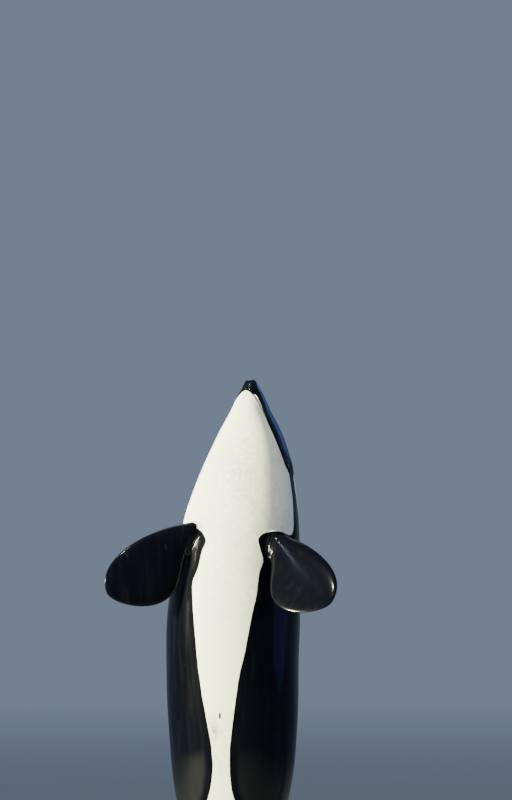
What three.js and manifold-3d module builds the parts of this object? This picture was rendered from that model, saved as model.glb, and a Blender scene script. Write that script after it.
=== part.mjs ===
// A young orca, four metres from snout to fluke notch, held upright on a display stand.
// Millimetres, +Z up. The head is at the top, the belly faces -Y and the animal's left side is +X.
// The body is one surface of two parameters: "at" is the distance from the snout tip along the axis, and
// the angle goes round the section, from the belly at 0 by the left side to the back at 180 degrees.

import * as THREE from 'three';
import { mergeVertices } from 'three/addons/utils/BufferGeometryUtils.js';
import Module from 'manifold-3d';

const wasm = await Module();
wasm.setup();

const DEGREE = Math.PI / 180;

// Overall size and stance. The body leans to its left above the navel, the head straightens and turns a
// little, and the tail bends back towards the flukes.
const LENGTH = 4000;
const NOTCH_HEIGHT = 270;
const AXIS_HOME = 1900;
const LEAN = 6.8 * DEGREE;
const LEAN_NONE_AT = 1680;
const LEAN_FULL_AT = 880;
const HEAD_STRAIGHTENS = 6 * DEGREE;
const HEAD_LEANING_AT = 680;
const HEAD_STRAIGHT_AT = 240;
const HEAD_TWIST = 18 * DEGREE;
const TWIST_NONE_AT = 900;
const TAIL_BEND = 26 * DEGREE;
const BEND_NONE_AT = 2240;
const BEND_FULL_AT = 3800;

// Half width, height of the back and depth of the belly, all from the axis, at the body's landmarks.
const STATIONS = [
  { name: 'snout tip', at: 0, half: 0, back: 0, belly: 0 },
  { name: 'snout cap', at: 14, half: 32, back: 38, belly: 25 },
  { name: 'chin tip', at: 50, half: 48, back: 74, belly: 46 },
  { name: 'melon', at: 164, half: 100, back: 134, belly: 102 },
  { name: 'cheek', at: 344, half: 194, back: 208, belly: 172 },
  { name: 'nape', at: 640, half: 289, back: 312, belly: 260 },
  { name: 'shoulder', at: 1000, half: 349, back: 380, belly: 330 },
  { name: 'girth', at: 1500, half: 378, back: 414, belly: 380 },
  { name: 'navel', at: 2100, half: 358, back: 390, belly: 350 },
  { name: 'vent', at: 2700, half: 252, back: 285, belly: 254 },
  { name: 'stock', at: 3250, half: 128, back: 172, belly: 152 },
  { name: 'thin stock', at: 3620, half: 68, back: 112, belly: 100 },
  { name: 'fluke root', at: 3830, half: 56, back: 56, belly: 52 },
  { name: 'notch', at: LENGTH, half: 34, back: 9, belly: 9 },
];

// Exponent of the section's outline: 2 is an ellipse, more is boxier, less makes the keels of the stock.
const TRUNK_EXPONENT = 2.15;
const STOCK_EXPONENT = 1.75;
const KEEL_NONE_AT = 2300;
const KEEL_FULL_AT = 3400;

// Lengths that the body is parted into, and the width of each thin cut.
const CUT = 0.3;
const HEAD_END = 760;
const CHEST_END = 1400;
const TRUNK_END = 2240;
const ABDOMEN_END = 2840;
const STOCK_END = 3480;

// Mouth: where its line starts and ends, and its depth below the axis at both.
const MOUTH_FRONT_AT = 56;
const MOUTH_CORNER_AT = 430;
const MOUTH_FRONT_DEPTH = 36;
const MOUTH_CORNER_DEPTH = 44;

// Eyes, behind and above the corners of the mouth.
const EYE_RADIUS = 27;
const EYE_AT = 486;
const EYE_ANGLE = 88 * DEGREE;
const EYE_SET_BACK = 20;

// Fin outlines, each as two Bezier curves that meet at the tip, in the plane of the blade: the first
// number is the distance out from the middle of the root, the second the distance towards the tail.
const FLIPPER = {
  leading: [[-75, -67], [129, -148], [558, -146], [583, 79]],
  trailing: [[-75, 52], [219, -14], [63, 522], [597, 202], [583, 79]],
  thickness: 92,
};
const FLIPPER_AT = 944;
const FLIPPER_ANGLE = 42 * DEGREE;
const FLIPPER_POSE = {
  left: { side: 1, tilt: 34.5 * DEGREE, sweep: 20 * DEGREE, roll: 28.5 * DEGREE },
  right: { side: -1, tilt: 29.5 * DEGREE, sweep: 29.5 * DEGREE, roll: 10 * DEGREE },
};
const DORSAL_FIN = {
  leading: [[-70, -350], [150, -215], [382, 60], [390, 285]],
  trailing: [[-70, 330], [110, 215], [240, 170], [392, 335], [390, 285]],
  thickness: 76,
};
const DORSAL_FIN_AT = 1840;
const FLUKE = {
  leading: [[8, -200], [160, -125], [485, 15], [530, 195]],
  trailing: [[8, 168], [110, 250], [350, 215], [542, 245], [530, 195]],
  thickness: 52,
};
const FLUKE_AT = 3830;

// Display stand: a round base and two rods up to the belly side of the tail stock.
const BASE_RADIUS = 1000;
const BASE_HEIGHT = 80;
const BASE_BEVEL = 12;
const BASE_SIDES = 64;
const ROD_SIDES = 24;
const FLANGE_HEIGHT = 24;
const FLANGE_BEVEL = 6;
const FRONT_ROD = { place: 'front', radius: 42, flange: 130, rear: -70, top: 1500 };
const REAR_ROD = { place: 'rear', radius: 24, flange: 80, rear: 250, top: 700 };

// Facets.
const BODY_SIDES = 40;
const BODY_STEP = 104;
const HEAD_ROWS = 13;
const HEAD_ROW_POWER = 1.6;
const FIN_SIDES = 16;
const FIN_STEPS = 12;
const FIN_STEP_POWER = 1.5;
const AXIS_STEPS = 400;

const LOOKS = {
  black: { color: 0x101216, roughness: 0.25, metalness: 0 },
  white: { color: 0xeeeadf, roughness: 0.35, metalness: 0 },
  eye: { color: 0x1c120c, roughness: 0.05, metalness: 0 },
  base: { color: 0x2b2d30, roughness: 0.5, metalness: 0.2 },
  steel: { color: 0x9a9da1, roughness: 0.3, metalness: 1 },
};

const { smoothstep, lerp } = THREE.MathUtils;

// Slope at a landmark of a curve that never overshoots: the harmonic mean of the slopes on both sides.
function landmarkSlope(xs, ys, i) {
  const before = (ys[i] - ys[Math.max(i - 1, 0)]) / (xs[i] - xs[Math.max(i - 1, 0)] || 1);
  const last = Math.min(i + 1, xs.length - 1);
  const after = (ys[last] - ys[i]) / (xs[last] - xs[i] || 1);
  if (i === 0) return after;
  if (i === xs.length - 1) return before;
  return before * after > 0 ? 2 * before * after / (before + after) : 0;
}

// Smooth curve through the landmarks, over the square root of the distance, which rounds the snout.
function bodyMeasure(key, at) {
  const xs = STATIONS.map((station) => Math.sqrt(station.at));
  const ys = STATIONS.map((station) => station[key]);
  const x = Math.sqrt(THREE.MathUtils.clamp(at, 0, LENGTH));
  let i = 0;
  while (i < xs.length - 2 && x > xs[i + 1]) i += 1;
  const width = xs[i + 1] - xs[i];
  const t = (x - xs[i]) / width;
  const startSlope = landmarkSlope(xs, ys, i) * width;
  const endSlope = landmarkSlope(xs, ys, i + 1) * width;
  const rise = ys[i + 1] - ys[i];
  const cubic = startSlope + endSlope - 2 * rise;
  const square = 3 * rise - 2 * startSlope - endSlope;
  return ys[i] + t * (startSlope + t * (square + t * cubic));
}

function leanAngle(at) {
  const body = LEAN * (1 - smoothstep(at, LEAN_FULL_AT, LEAN_NONE_AT));
  return body - HEAD_STRAIGHTENS * (1 - smoothstep(at, HEAD_STRAIGHT_AT, HEAD_LEANING_AT));
}

// The three directions of the body at a distance from the snout: to its left, to its back and headward.
function bodyFrame(at) {
  const lean = leanAngle(at);
  const bend = TAIL_BEND * smoothstep(at, BEND_NONE_AT, BEND_FULL_AT);
  const twist = HEAD_TWIST * (1 - smoothstep(at, HEAD_STRAIGHT_AT, TWIST_NONE_AT));
  const level = new THREE.Vector3(Math.cos(lean), 0, -Math.sin(lean));
  const head = new THREE.Vector3(Math.sin(lean), -Math.sin(bend), Math.cos(lean) * Math.cos(bend));
  head.normalize();
  const rear = head.clone().cross(level);
  const left = level.clone().multiplyScalar(Math.cos(twist)).addScaledVector(rear, -Math.sin(twist));
  rear.multiplyScalar(Math.cos(twist)).addScaledVector(level, Math.sin(twist));
  return { left, rear, head };
}

// The axis as points from the snout to the notch, with the trunk over the middle of the stand.
function traceAxis() {
  const step = LENGTH / AXIS_STEPS;
  const points = [new THREE.Vector3()];
  for (let i = 1; i <= AXIS_STEPS; i += 1) {
    const { head } = bodyFrame((i - 0.5) * step);
    points.push(points[i - 1].clone().addScaledVector(head, -step));
  }
  const home = points[Math.round(AXIS_HOME / step)];
  const shift = new THREE.Vector3(-home.x, -home.y, NOTCH_HEIGHT - points[AXIS_STEPS].z);
  return points.map((point) => point.clone().add(shift));
}

const AXIS = traceAxis();

function axisPoint(at) {
  const place = THREE.MathUtils.clamp(at / LENGTH, 0, 1) * AXIS_STEPS;
  const i = Math.min(Math.floor(place), AXIS_STEPS - 1);
  return AXIS[i].clone().lerp(AXIS[i + 1], place - i);
}

// A point beside the axis: left and rear are distances towards the animal's left and its back.
function bodyPlace(at, left, rear) {
  const frame = bodyFrame(at);
  return axisPoint(at).addScaledVector(frame.left, left).addScaledVector(frame.rear, rear);
}

function signedPower(value, power) {
  return Math.sign(value) * Math.abs(value) ** power;
}

// A point of the body's surface, moved out by grow.
function bodyPoint(at, angle, grow = 0) {
  const keel = smoothstep(at, KEEL_NONE_AT, KEEL_FULL_AT);
  const power = 2 / lerp(TRUNK_EXPONENT, STOCK_EXPONENT, keel);
  const across = signedPower(Math.sin(angle), power);
  const up = signedPower(-Math.cos(angle), power);
  const depth = bodyMeasure(up < 0 ? 'belly' : 'back', at) + grow;
  return bodyPlace(at, (bodyMeasure('half', at) + grow) * across, depth * up);
}

function bodyNormal(at, angle) {
  const small = 0.01;
  const round = bodyPoint(at, angle + small).sub(bodyPoint(at, angle - small));
  const along = bodyPoint(at + 4, angle).sub(bodyPoint(at - 4, angle));
  return along.cross(round).normalize();
}

// Closed mesh from rings of points that go round anticlockwise as seen from the last ring.
function closedLoft(rings) {
  const sides = rings[0].length;
  const centre = (ring) => ring.reduce((sum, point) => sum.add(point), new THREE.Vector3())
    .divideScalar(sides);
  const points = [...rings.flat(), centre(rings[0]), centre(rings[rings.length - 1])];
  const first = rings.length * sides;
  const faces = [];
  for (let side = 0; side < sides; side += 1) {
    const next = (side + 1) % sides;
    for (let row = 0; row < rings.length - 1; row += 1) {
      const low = row * sides;
      const high = low + sides;
      faces.push(low + side, low + next, high + next);
      faces.push(low + side, high + next, high + side);
    }
    const top = first - sides;
    faces.push(first, next, side);
    faces.push(first + 1, top + side, top + next);
  }
  const geometry = new THREE.BufferGeometry();
  const positions = points.flatMap((point) => [point.x, point.y, point.z]);
  geometry.setAttribute('position', new THREE.Float32BufferAttribute(positions, 3));
  geometry.setIndex(faces);
  return geometry;
}

function toSolid(geometry) {
  const bare = geometry.clone();
  bare.deleteAttribute('normal');
  bare.deleteAttribute('uv');
  const merged = mergeVertices(bare, 1e-3);
  return new wasm.Manifold(new wasm.Mesh({
    numProp: 3,
    vertProperties: new Float32Array(merged.attributes.position.array),
    triVerts: new Uint32Array(merged.index.array),
  }));
}

function toGeometry(solid) {
  const mesh = solid.getMesh();
  const geometry = new THREE.BufferGeometry();
  geometry.setAttribute('position', new THREE.Float32BufferAttribute(mesh.vertProperties, 3));
  geometry.setIndex(Array.from(mesh.triVerts));
  return geometry;
}

function bodyRing(at, grow) {
  const ring = [];
  for (let side = 0; side < BODY_SIDES; side += 1) {
    ring.push(bodyPoint(at, 2 * Math.PI * side / BODY_SIDES, grow));
  }
  return ring;
}

// Distances of the sections between two cuts, closer together towards the snout tip.
function sectionPlaces(from, to) {
  const places = [];
  const rows = from === 0 ? HEAD_ROWS : Math.ceil((to - from) / BODY_STEP);
  const power = from === 0 ? HEAD_ROW_POWER : 1;
  for (let row = 0; row <= rows; row += 1) {
    places.push(from + (to - from) * (row / rows) ** power);
  }
  places[0] = Math.max(places[0], 0.5);
  return places;
}

function bodyLength(from, to, grow = 0) {
  const rings = sectionPlaces(from, to).map((at) => bodyRing(at, grow));
  return closedLoft(rings.reverse());
}

// The whole body, grown a little, to cut the fins and rods where they meet it.
function bodyCutter() {
  const cuts = [0, HEAD_END, CHEST_END, TRUNK_END, ABDOMEN_END, STOCK_END, LENGTH];
  const places = cuts.slice(1).flatMap((to, i) => sectionPlaces(cuts[i], to).slice(i === 0 ? 0 : 1));
  return toSolid(closedLoft(places.map((at) => bodyRing(at, CUT)).reverse()));
}

// Depth of the mouth's line below the axis, a parabola from the front to the corner.
function mouthDepth(at) {
  const t = THREE.MathUtils.clamp((at - MOUTH_FRONT_AT) / (MOUTH_CORNER_AT - MOUTH_FRONT_AT), 0, 1);
  return lerp(MOUTH_FRONT_DEPTH, MOUTH_CORNER_DEPTH, t * t);
}

// Space on the belly side of the mouth's line, as wide as the head, grown by the cut.
function jawSpace(grow) {
  const reach = 420;
  const rows = 12;
  const rings = [];
  for (let row = 0; row <= rows; row += 1) {
    const at = lerp(MOUTH_FRONT_AT - grow, MOUTH_CORNER_AT + grow, row / rows);
    const level = grow - mouthDepth(at);
    const corners = [[-reach, -reach], [reach, -reach], [reach, level], [-reach, level]];
    rings.push(corners.map(([left, rear]) => bodyPlace(at, left, rear)));
  }
  return toSolid(closedLoft(rings.reverse()));
}

function eyeBall(side, radius) {
  const normal = bodyNormal(EYE_AT, side * EYE_ANGLE);
  const ball = new THREE.SphereGeometry(radius, 14, 10);
  ball.rotateX(Math.PI / 2);
  const centre = bodyPoint(EYE_AT, side * EYE_ANGLE).addScaledVector(normal, -EYE_SET_BACK);
  ball.translate(centre.x, centre.y, centre.z);
  return ball;
}

function bezier(points, t) {
  let row = points;
  while (row.length > 1) {
    row = row.slice(1).map((point, i) => [lerp(row[i][0], point[0], t), lerp(row[i][1], point[1], t)]);
  }
  return row[0];
}

// One section of a fin: a lens from the leading to the trailing edge, fuller towards the leading edge.
function finSection(fin, t, place) {
  const leading = bezier(fin.leading, t);
  const trailing = bezier(fin.trailing, t);
  const half = fin.thickness / 2 * (1 - t) ** 0.75;
  const section = [];
  for (let side = 0; side < FIN_SIDES; side += 1) {
    const turn = 2 * Math.PI * side / FIN_SIDES;
    const chord = (1 - Math.cos(turn)) / 2;
    const raise = half * Math.sin(turn) * (1 + 0.35 * Math.cos(turn));
    const out = lerp(leading[0], trailing[0], chord);
    const along = lerp(leading[1], trailing[1], chord);
    section.push(place(out, along, raise));
  }
  return section;
}

function finSolid(fin, place) {
  const rings = [];
  for (let step = 0; step < FIN_STEPS; step += 1) {
    rings.push(finSection(fin, 1 - (1 - step / FIN_STEPS) ** FIN_STEP_POWER, place));
  }
  rings.push(finSection(fin, 0.998, place));
  const solid = toSolid(closedLoft(rings));
  return solid.volume() > 0 ? solid : toSolid(closedLoft(rings.reverse()));
}

// A flat blade from a root point, with its own directions out, towards the tail and through.
function bladePlace(root, out, frame, roll = 0) {
  const through = out.clone().cross(frame.head).normalize().applyAxisAngle(out, roll);
  const along = out.clone().cross(through);
  return (x, y, z) => root.clone().addScaledVector(out, x).addScaledVector(along, y)
    .addScaledVector(through, z);
}

function flipperSolid({ side, tilt, sweep, roll }) {
  const frame = bodyFrame(FLIPPER_AT);
  const root = bodyPoint(FLIPPER_AT, side * FLIPPER_ANGLE);
  const out = frame.left.clone().multiplyScalar(side * Math.cos(sweep) * Math.cos(tilt));
  out.addScaledVector(frame.rear, -Math.cos(sweep) * Math.sin(tilt));
  out.addScaledVector(frame.head, -Math.sin(sweep));
  return finSolid(FLIPPER, bladePlace(root, out, frame, -side * roll));
}

function dorsalFinSolid() {
  const root = bodyPoint(DORSAL_FIN_AT, Math.PI);
  const frame = bodyFrame(DORSAL_FIN_AT);
  return finSolid(DORSAL_FIN, bladePlace(root, frame.rear, frame));
}

function flukeSolid(side) {
  const frame = bodyFrame(FLUKE_AT);
  return finSolid(FLUKE, bladePlace(axisPoint(FLUKE_AT), frame.left.clone().multiplyScalar(side), frame));
}

// A round solid about an upright line, from its outline as pairs of radius and height.
function turned(outline, sides) {
  const profile = outline.map(([radius, height]) => new THREE.Vector2(radius, height));
  const geometry = new THREE.LatheGeometry(profile, sides);
  geometry.rotateX(Math.PI / 2);
  return geometry;
}

// Round base with bevelled rims.
function baseGeometry() {
  const outline = [
    [0, 0],
    [BASE_RADIUS - BASE_BEVEL, 0],
    [BASE_RADIUS, BASE_BEVEL],
    [BASE_RADIUS, BASE_HEIGHT - BASE_BEVEL],
    [BASE_RADIUS - BASE_BEVEL, BASE_HEIGHT],
    [0, BASE_HEIGHT],
  ];
  return turned(outline, BASE_SIDES);
}

// Flat flange on the base under a rod.
function flangeGeometry(rod) {
  const foot = BASE_HEIGHT + CUT;
  const outline = [
    [0, foot],
    [rod.flange, foot],
    [rod.flange, foot + FLANGE_HEIGHT - FLANGE_BEVEL],
    [rod.flange - FLANGE_BEVEL, foot + FLANGE_HEIGHT],
    [0, foot + FLANGE_HEIGHT],
  ];
  return turned(outline, ROD_SIDES).translate(0, rod.rear, 0);
}

// A rod that rises from its flange and ends at the skin.
function rodSolid(rod, cutter) {
  const foot = BASE_HEIGHT + FLANGE_HEIGHT + 2 * CUT;
  const shaft = turned([[0, foot], [rod.radius, foot], [rod.radius, rod.top], [0, rod.top]], ROD_SIDES);
  return toSolid(shaft.translate(0, rod.rear, 0)).subtract(cutter);
}

function addNode(group, name, geometry, look) {
  const mesh = new THREE.Mesh(geometry, new THREE.MeshStandardMaterial(LOOKS[look]));
  mesh.name = name;
  group.add(mesh);
}

function addHead(group) {
  const sockets = [1, -1].map((side) => toSolid(eyeBall(side, EYE_RADIUS + CUT)));
  const whole = toSolid(bodyLength(0, HEAD_END));
  const head = sockets.reduce((solid, socket) => solid.subtract(socket), whole.subtract(jawSpace(CUT)));
  addNode(group, 'head', toGeometry(head), 'black');
  addNode(group, 'lower_jaw', toGeometry(whole.intersect(jawSpace(0))), 'white');
  addNode(group, 'eye_left', eyeBall(1, EYE_RADIUS), 'eye');
  addNode(group, 'eye_right', eyeBall(-1, EYE_RADIUS), 'eye');
}

function addBody(group) {
  addNode(group, 'chest', bodyLength(HEAD_END + CUT, CHEST_END), 'white');
  addNode(group, 'trunk', bodyLength(CHEST_END + CUT, TRUNK_END), 'black');
  addNode(group, 'abdomen', bodyLength(TRUNK_END + CUT, ABDOMEN_END), 'black');
  addNode(group, 'tail_stock', bodyLength(ABDOMEN_END + CUT, STOCK_END), 'black');
  addNode(group, 'tail_end', bodyLength(STOCK_END + CUT, LENGTH), 'black');
}

function addFins(group, cutter) {
  const flipperLeft = flipperSolid(FLIPPER_POSE.left).subtract(cutter);
  const flipperRight = flipperSolid(FLIPPER_POSE.right).subtract(cutter);
  addNode(group, 'flipper_left', toGeometry(flipperLeft), 'black');
  addNode(group, 'flipper_right', toGeometry(flipperRight), 'black');
  addNode(group, 'dorsal_fin', toGeometry(dorsalFinSolid().subtract(cutter)), 'black');
  addNode(group, 'fluke_left', toGeometry(flukeSolid(1).subtract(cutter)), 'black');
  addNode(group, 'fluke_right', toGeometry(flukeSolid(-1).subtract(cutter)), 'black');
}

function addStand(group, cutter) {
  addNode(group, 'stand_base', baseGeometry(), 'base');
  for (const rod of [FRONT_ROD, REAR_ROD]) {
    addNode(group, `stand_flange_${rod.place}`, flangeGeometry(rod), 'steel');
    addNode(group, `stand_rod_${rod.place}`, toGeometry(rodSolid(rod, cutter)), 'steel');
  }
}

function buildOrca() {
  const group = new THREE.Group();
  const cutter = bodyCutter();
  addHead(group);
  addBody(group);
  addFins(group, cutter);
  addStand(group, cutter);
  return group;
}

export default buildOrca();
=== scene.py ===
"""A young orca, four metres long, held upright on a round display base by two rods."""

import logging
import math
from collections.abc import Sequence
from dataclasses import dataclass
from enum import Enum
from functools import cached_property
from typing import NamedTuple

import bmesh
import bpy
import numpy as np
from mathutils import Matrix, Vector


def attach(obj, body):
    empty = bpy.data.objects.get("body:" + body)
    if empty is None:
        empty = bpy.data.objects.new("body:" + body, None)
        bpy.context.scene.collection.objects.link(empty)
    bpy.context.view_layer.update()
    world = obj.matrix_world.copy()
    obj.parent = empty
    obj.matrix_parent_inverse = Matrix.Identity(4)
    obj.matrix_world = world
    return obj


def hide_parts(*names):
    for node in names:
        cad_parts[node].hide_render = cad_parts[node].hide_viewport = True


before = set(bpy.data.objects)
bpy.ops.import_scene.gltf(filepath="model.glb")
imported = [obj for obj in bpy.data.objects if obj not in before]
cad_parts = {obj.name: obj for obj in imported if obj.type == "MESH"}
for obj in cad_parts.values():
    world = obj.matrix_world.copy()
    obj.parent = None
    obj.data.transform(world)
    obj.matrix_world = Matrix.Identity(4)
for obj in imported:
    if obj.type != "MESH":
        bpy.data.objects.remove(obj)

Array = np.ndarray
Reals = Array | float
Pair = tuple[float, float]
Pairs = Sequence[Pair]
Spans = tuple[Pair, Pair]
Triple = tuple[float, float, float]
Piece = bpy.types.Object
Material = bpy.types.Material

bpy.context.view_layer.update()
DEGREE = math.pi / 180
TURN = 2 * math.pi
TINY = 1e-12
log = logging.getLogger("orca")


def ease(value: Reals, start: float, end: float) -> Array:
    """Smooth step: 0 before start, 1 after end and 3t² − 2t³ of the share t between them."""
    share = np.clip((np.asarray(value, float) - start) / (end - start), 0, 1)
    return share * share * (3 - 2 * share)


def paired(first: Reals, second: Reals) -> Sequence[Array]:
    """Two arrays of numbers, brought to one shape."""
    return np.broadcast_arrays(np.asarray(first, float), np.asarray(second, float))


def between(first: Reals, second: Reals, share: Reals) -> Array:
    """The place that lies a share of the way from the first to the second."""
    return first + (second - first) * share


def slowing(share: Reals, power: float) -> Array:
    """Shares with long steps first and short ones last: 1 − (1 − share)ᵖ."""
    return 1 - (1 - share) ** power


def bump(distance: Array, width: Reals) -> Array:
    """A bell, exp(−(d / width)²), with height 1 where the distance is 0."""
    return np.exp(-((distance / width) ** 2))


def signed_power(value: Array, power: Reals) -> Array:
    """The size of a value raised to a power, with the value's own sign."""
    return np.sign(value) * np.abs(value) ** power


def unit(vectors: Array) -> Array:
    """Vectors along the last axis, scaled to length 1."""
    return vectors / np.maximum(np.linalg.norm(vectors, axis=-1, keepdims=True), TINY)


def dot(first: Array, second: Array) -> Array:
    """Scalar products along the last axis."""
    return (first * second).sum(-1)


def wrap(angle: Reals, middle: float = 0.0) -> Array:
    """The same angles, moved by whole turns to within half a turn of the middle one."""
    return middle + np.angle(np.exp(1j * (np.asarray(angle) - middle)))


def circle(count: int) -> Array:
    """Even angles once round, from 0."""
    return np.arange(count) * TURN / count


def shares(count: int) -> Array:
    """A column of even shares of a way, from its first part of count to the whole."""
    return (np.arange(1, count + 1) / count)[:, None]


def bezier(points: Pairs, t: Reals) -> Array:
    """Bezier curve through repeated blending of neighbouring control points.

    Args:
        points: The control points.
        t: Share of the way along the curve, of any shape.

    Returns:
        Points of the curve, with one more axis than t.
    """
    share = np.asarray(t, float)[..., None]
    rows = [np.array(point) + 0 * share for point in points]
    while len(rows) > 1:
        rows = [between(a, b, share) for a, b in zip(rows, rows[1:])]
    return rows[0]


def smooth_curve(points: Array, steps: int = 6) -> Array:
    """Catmull-Rom curve: a cubic between each two points, from the second to the last but one.

    Args:
        points: Points in order, of which the first and last only give the ends' directions.
        steps: Points of the curve for each point.

    Returns:
        The curve's points, one a row.
    """
    corners = np.asarray(points, float)
    p0, p1, p2, p3 = (corners[first:len(corners) - 3 + first, None] for first in range(4))
    t = np.arange(steps)[None, :, None] / steps
    straight = 2 * p1 + (p2 - p0) * t
    curved = (2 * p0 - 5 * p1 + 4 * p2 - p3) * t**2 + (3 * p1 - p0 - 3 * p2 + p3) * t**3
    return np.vstack([(0.5 * (straight + curved)).reshape(-1, 2), corners[-2:-1]])


def smooth_outline(points: Array) -> Array:
    """Closed Catmull-Rom curve through all points."""
    return smooth_curve(np.vstack([points[-1:], points, points[:2]]))[:-1]


def segment_gap(places: Array, start: Array, end: Array) -> Array:
    """Squared distance of flat places from a straight piece between two points."""
    along = end - start
    share = np.clip(((places - start) @ along) / max(along @ along, TINY), 0, 1)
    return ((places - start - share[..., None] * along) ** 2).sum(-1)


def outline_distance(places: Array, outline: Array) -> Array:
    """Distance of flat places from a closed outline, positive inside it.

    It is the least distance from the outline's straight pieces, and a place is inside where a
    line from it towards growing first coordinates crosses the outline an odd number of times.

    Args:
        places: Flat places, with two coordinates on the last axis.
        outline: The outline's points, one a row.

    Returns:
        The signed distances.
    """
    nearest = np.full(places.shape[:-1], np.inf)
    inside = np.zeros(places.shape[:-1], bool)
    for start, end in zip(outline, np.roll(outline, -1, 0)):
        nearest = np.minimum(nearest, segment_gap(places, start, end))
        rise = end[1] - start[1]
        if rise:
            crosses = (start[1] > places[..., 1]) != (end[1] > places[..., 1])
            share = (places[..., 1] - start[1]) / rise
            inside ^= crosses & (places[..., 0] < start[0] + share * (end[0] - start[0]))
    return np.where(inside, 1, -1) * np.sqrt(nearest)


def link(name: str, data: bpy.types.ID) -> Piece:
    """Puts a new object with a mesh, camera or light into the scene and returns it."""
    thing = bpy.data.objects.new(name, data)
    bpy.context.scene.collection.objects.link(thing)
    return thing


def make_mesh(name: str, points: Array, faces: Sequence[Array]) -> Piece:
    """A smooth mesh object at the origin.

    Args:
        name: The piece's name.
        points: Vertices, with three coordinates on the last axis.
        faces: Arrays of vertex numbers, one face a row, each array with its own corner count.

    Returns:
        The linked object.
    """
    mesh = bpy.data.meshes.new(name)
    places = points.reshape(-1, 3)
    mesh.vertices.add(len(places))
    mesh.vertices.foreach_set("co", places.astype(np.float32).ravel())
    corners = np.concatenate([face.ravel() for face in faces]).astype(np.int32)
    totals = np.concatenate([np.full(len(face), face.shape[1]) for face in faces]).astype(np.int32)
    mesh.loops.add(len(corners))
    mesh.loops.foreach_set("vertex_index", corners)
    mesh.polygons.add(len(totals))
    starts = np.concatenate([[0], np.cumsum(totals)[:-1]]).astype(np.int32)
    mesh.polygons.foreach_set("loop_start", starts)
    mesh.polygons.foreach_set("loop_total", totals)
    mesh.polygons.foreach_set("use_smooth", np.ones(len(totals), bool))
    mesh.update(calc_edges=True)
    return link(name, mesh)


def ring_quads(rings: Array) -> Array:
    """Quads between successive closed rings of vertex numbers, one ring a row."""
    turned = np.roll(rings, -1, 1)
    return np.stack([rings[:-1], turned[:-1], turned[1:], rings[1:]], -1)


def turn_outwards(piece: Piece) -> Piece:
    """Turns the faces of a closed mesh so that they all point outwards, and returns it."""
    work = bmesh.new()
    work.from_mesh(piece.data)
    bmesh.ops.recalc_face_normals(work, faces=work.faces)
    work.to_mesh(piece.data)
    work.free()
    return piece


def closed_rings(name: str, rings: Array, poles: Array) -> Piece:
    """A closed mesh from rings of points and a pole at each end.

    Args:
        name: The piece's name.
        rings: Points, one ring a row.
        poles: The first and the last pole.

    Returns:
        The object.
    """
    rows, columns = rings.shape[:2]
    numbers = np.arange(rows * columns).reshape(rows, columns)
    turned = np.roll(numbers, -1, 1)
    first = np.full(columns, rows * columns)
    start = np.stack([numbers[0], turned[0], first], -1)
    end = np.stack([turned[-1], numbers[-1], first + 1], -1)
    points = np.vstack([rings.reshape(-1, 3), poles])
    faces = [ring_quads(numbers).reshape(-1, 4), np.vstack([start[:, ::-1], end[:, ::-1]])]
    return turn_outwards(make_mesh(name, points, faces))


def carry(piece: Piece, name: str, values: Array) -> None:
    """Stores a number at each vertex, for the material to read."""
    attribute = piece.data.attributes.new(name, "FLOAT", "POINT")
    attribute.data.foreach_set("value", values.astype(np.float32))


def dress(piece: Piece, finish: Material, slot: str, *nodes: str) -> None:
    """Gives a piece its material and its body, and hides the nodes it stands for."""
    piece.data.materials.append(finish)
    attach(piece, "root")
    if nodes:
        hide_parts(*nodes)
    log.info("%s: %d faces", piece.name, len(piece.data.polygons))


class Measure(Enum):
    """What a station of the body says about its section there."""

    HALF = 1
    BACK = 2
    BELLY = 3


class Station(NamedTuple):
    """A landmark of the body: its half width, height of the back and depth of the belly."""

    name: str
    at: float
    half: float
    back: float
    belly: float


STATIONS = (
    Station("snout tip", 0, 0, 0, 0),
    Station("snout cap", 0.014, 0.032, 0.038, 0.025),
    Station("chin tip", 0.05, 0.048, 0.074, 0.046),
    Station("melon", 0.164, 0.1, 0.134, 0.102),
    Station("cheek", 0.344, 0.194, 0.208, 0.172),
    Station("nape", 0.64, 0.289, 0.312, 0.26),
    Station("shoulder", 1.0, 0.349, 0.38, 0.33),
    Station("girth", 1.5, 0.378, 0.414, 0.38),
    Station("navel", 2.1, 0.358, 0.39, 0.35),
    Station("vent", 2.7, 0.252, 0.285, 0.254),
    Station("stock", 3.25, 0.128, 0.172, 0.152),
    Station("thin stock", 3.62, 0.068, 0.112, 0.1),
    Station("fluke root", 3.83, 0.056, 0.056, 0.052),
    Station("notch", 4.0, 0.034, 0.009, 0.009),
)


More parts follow.
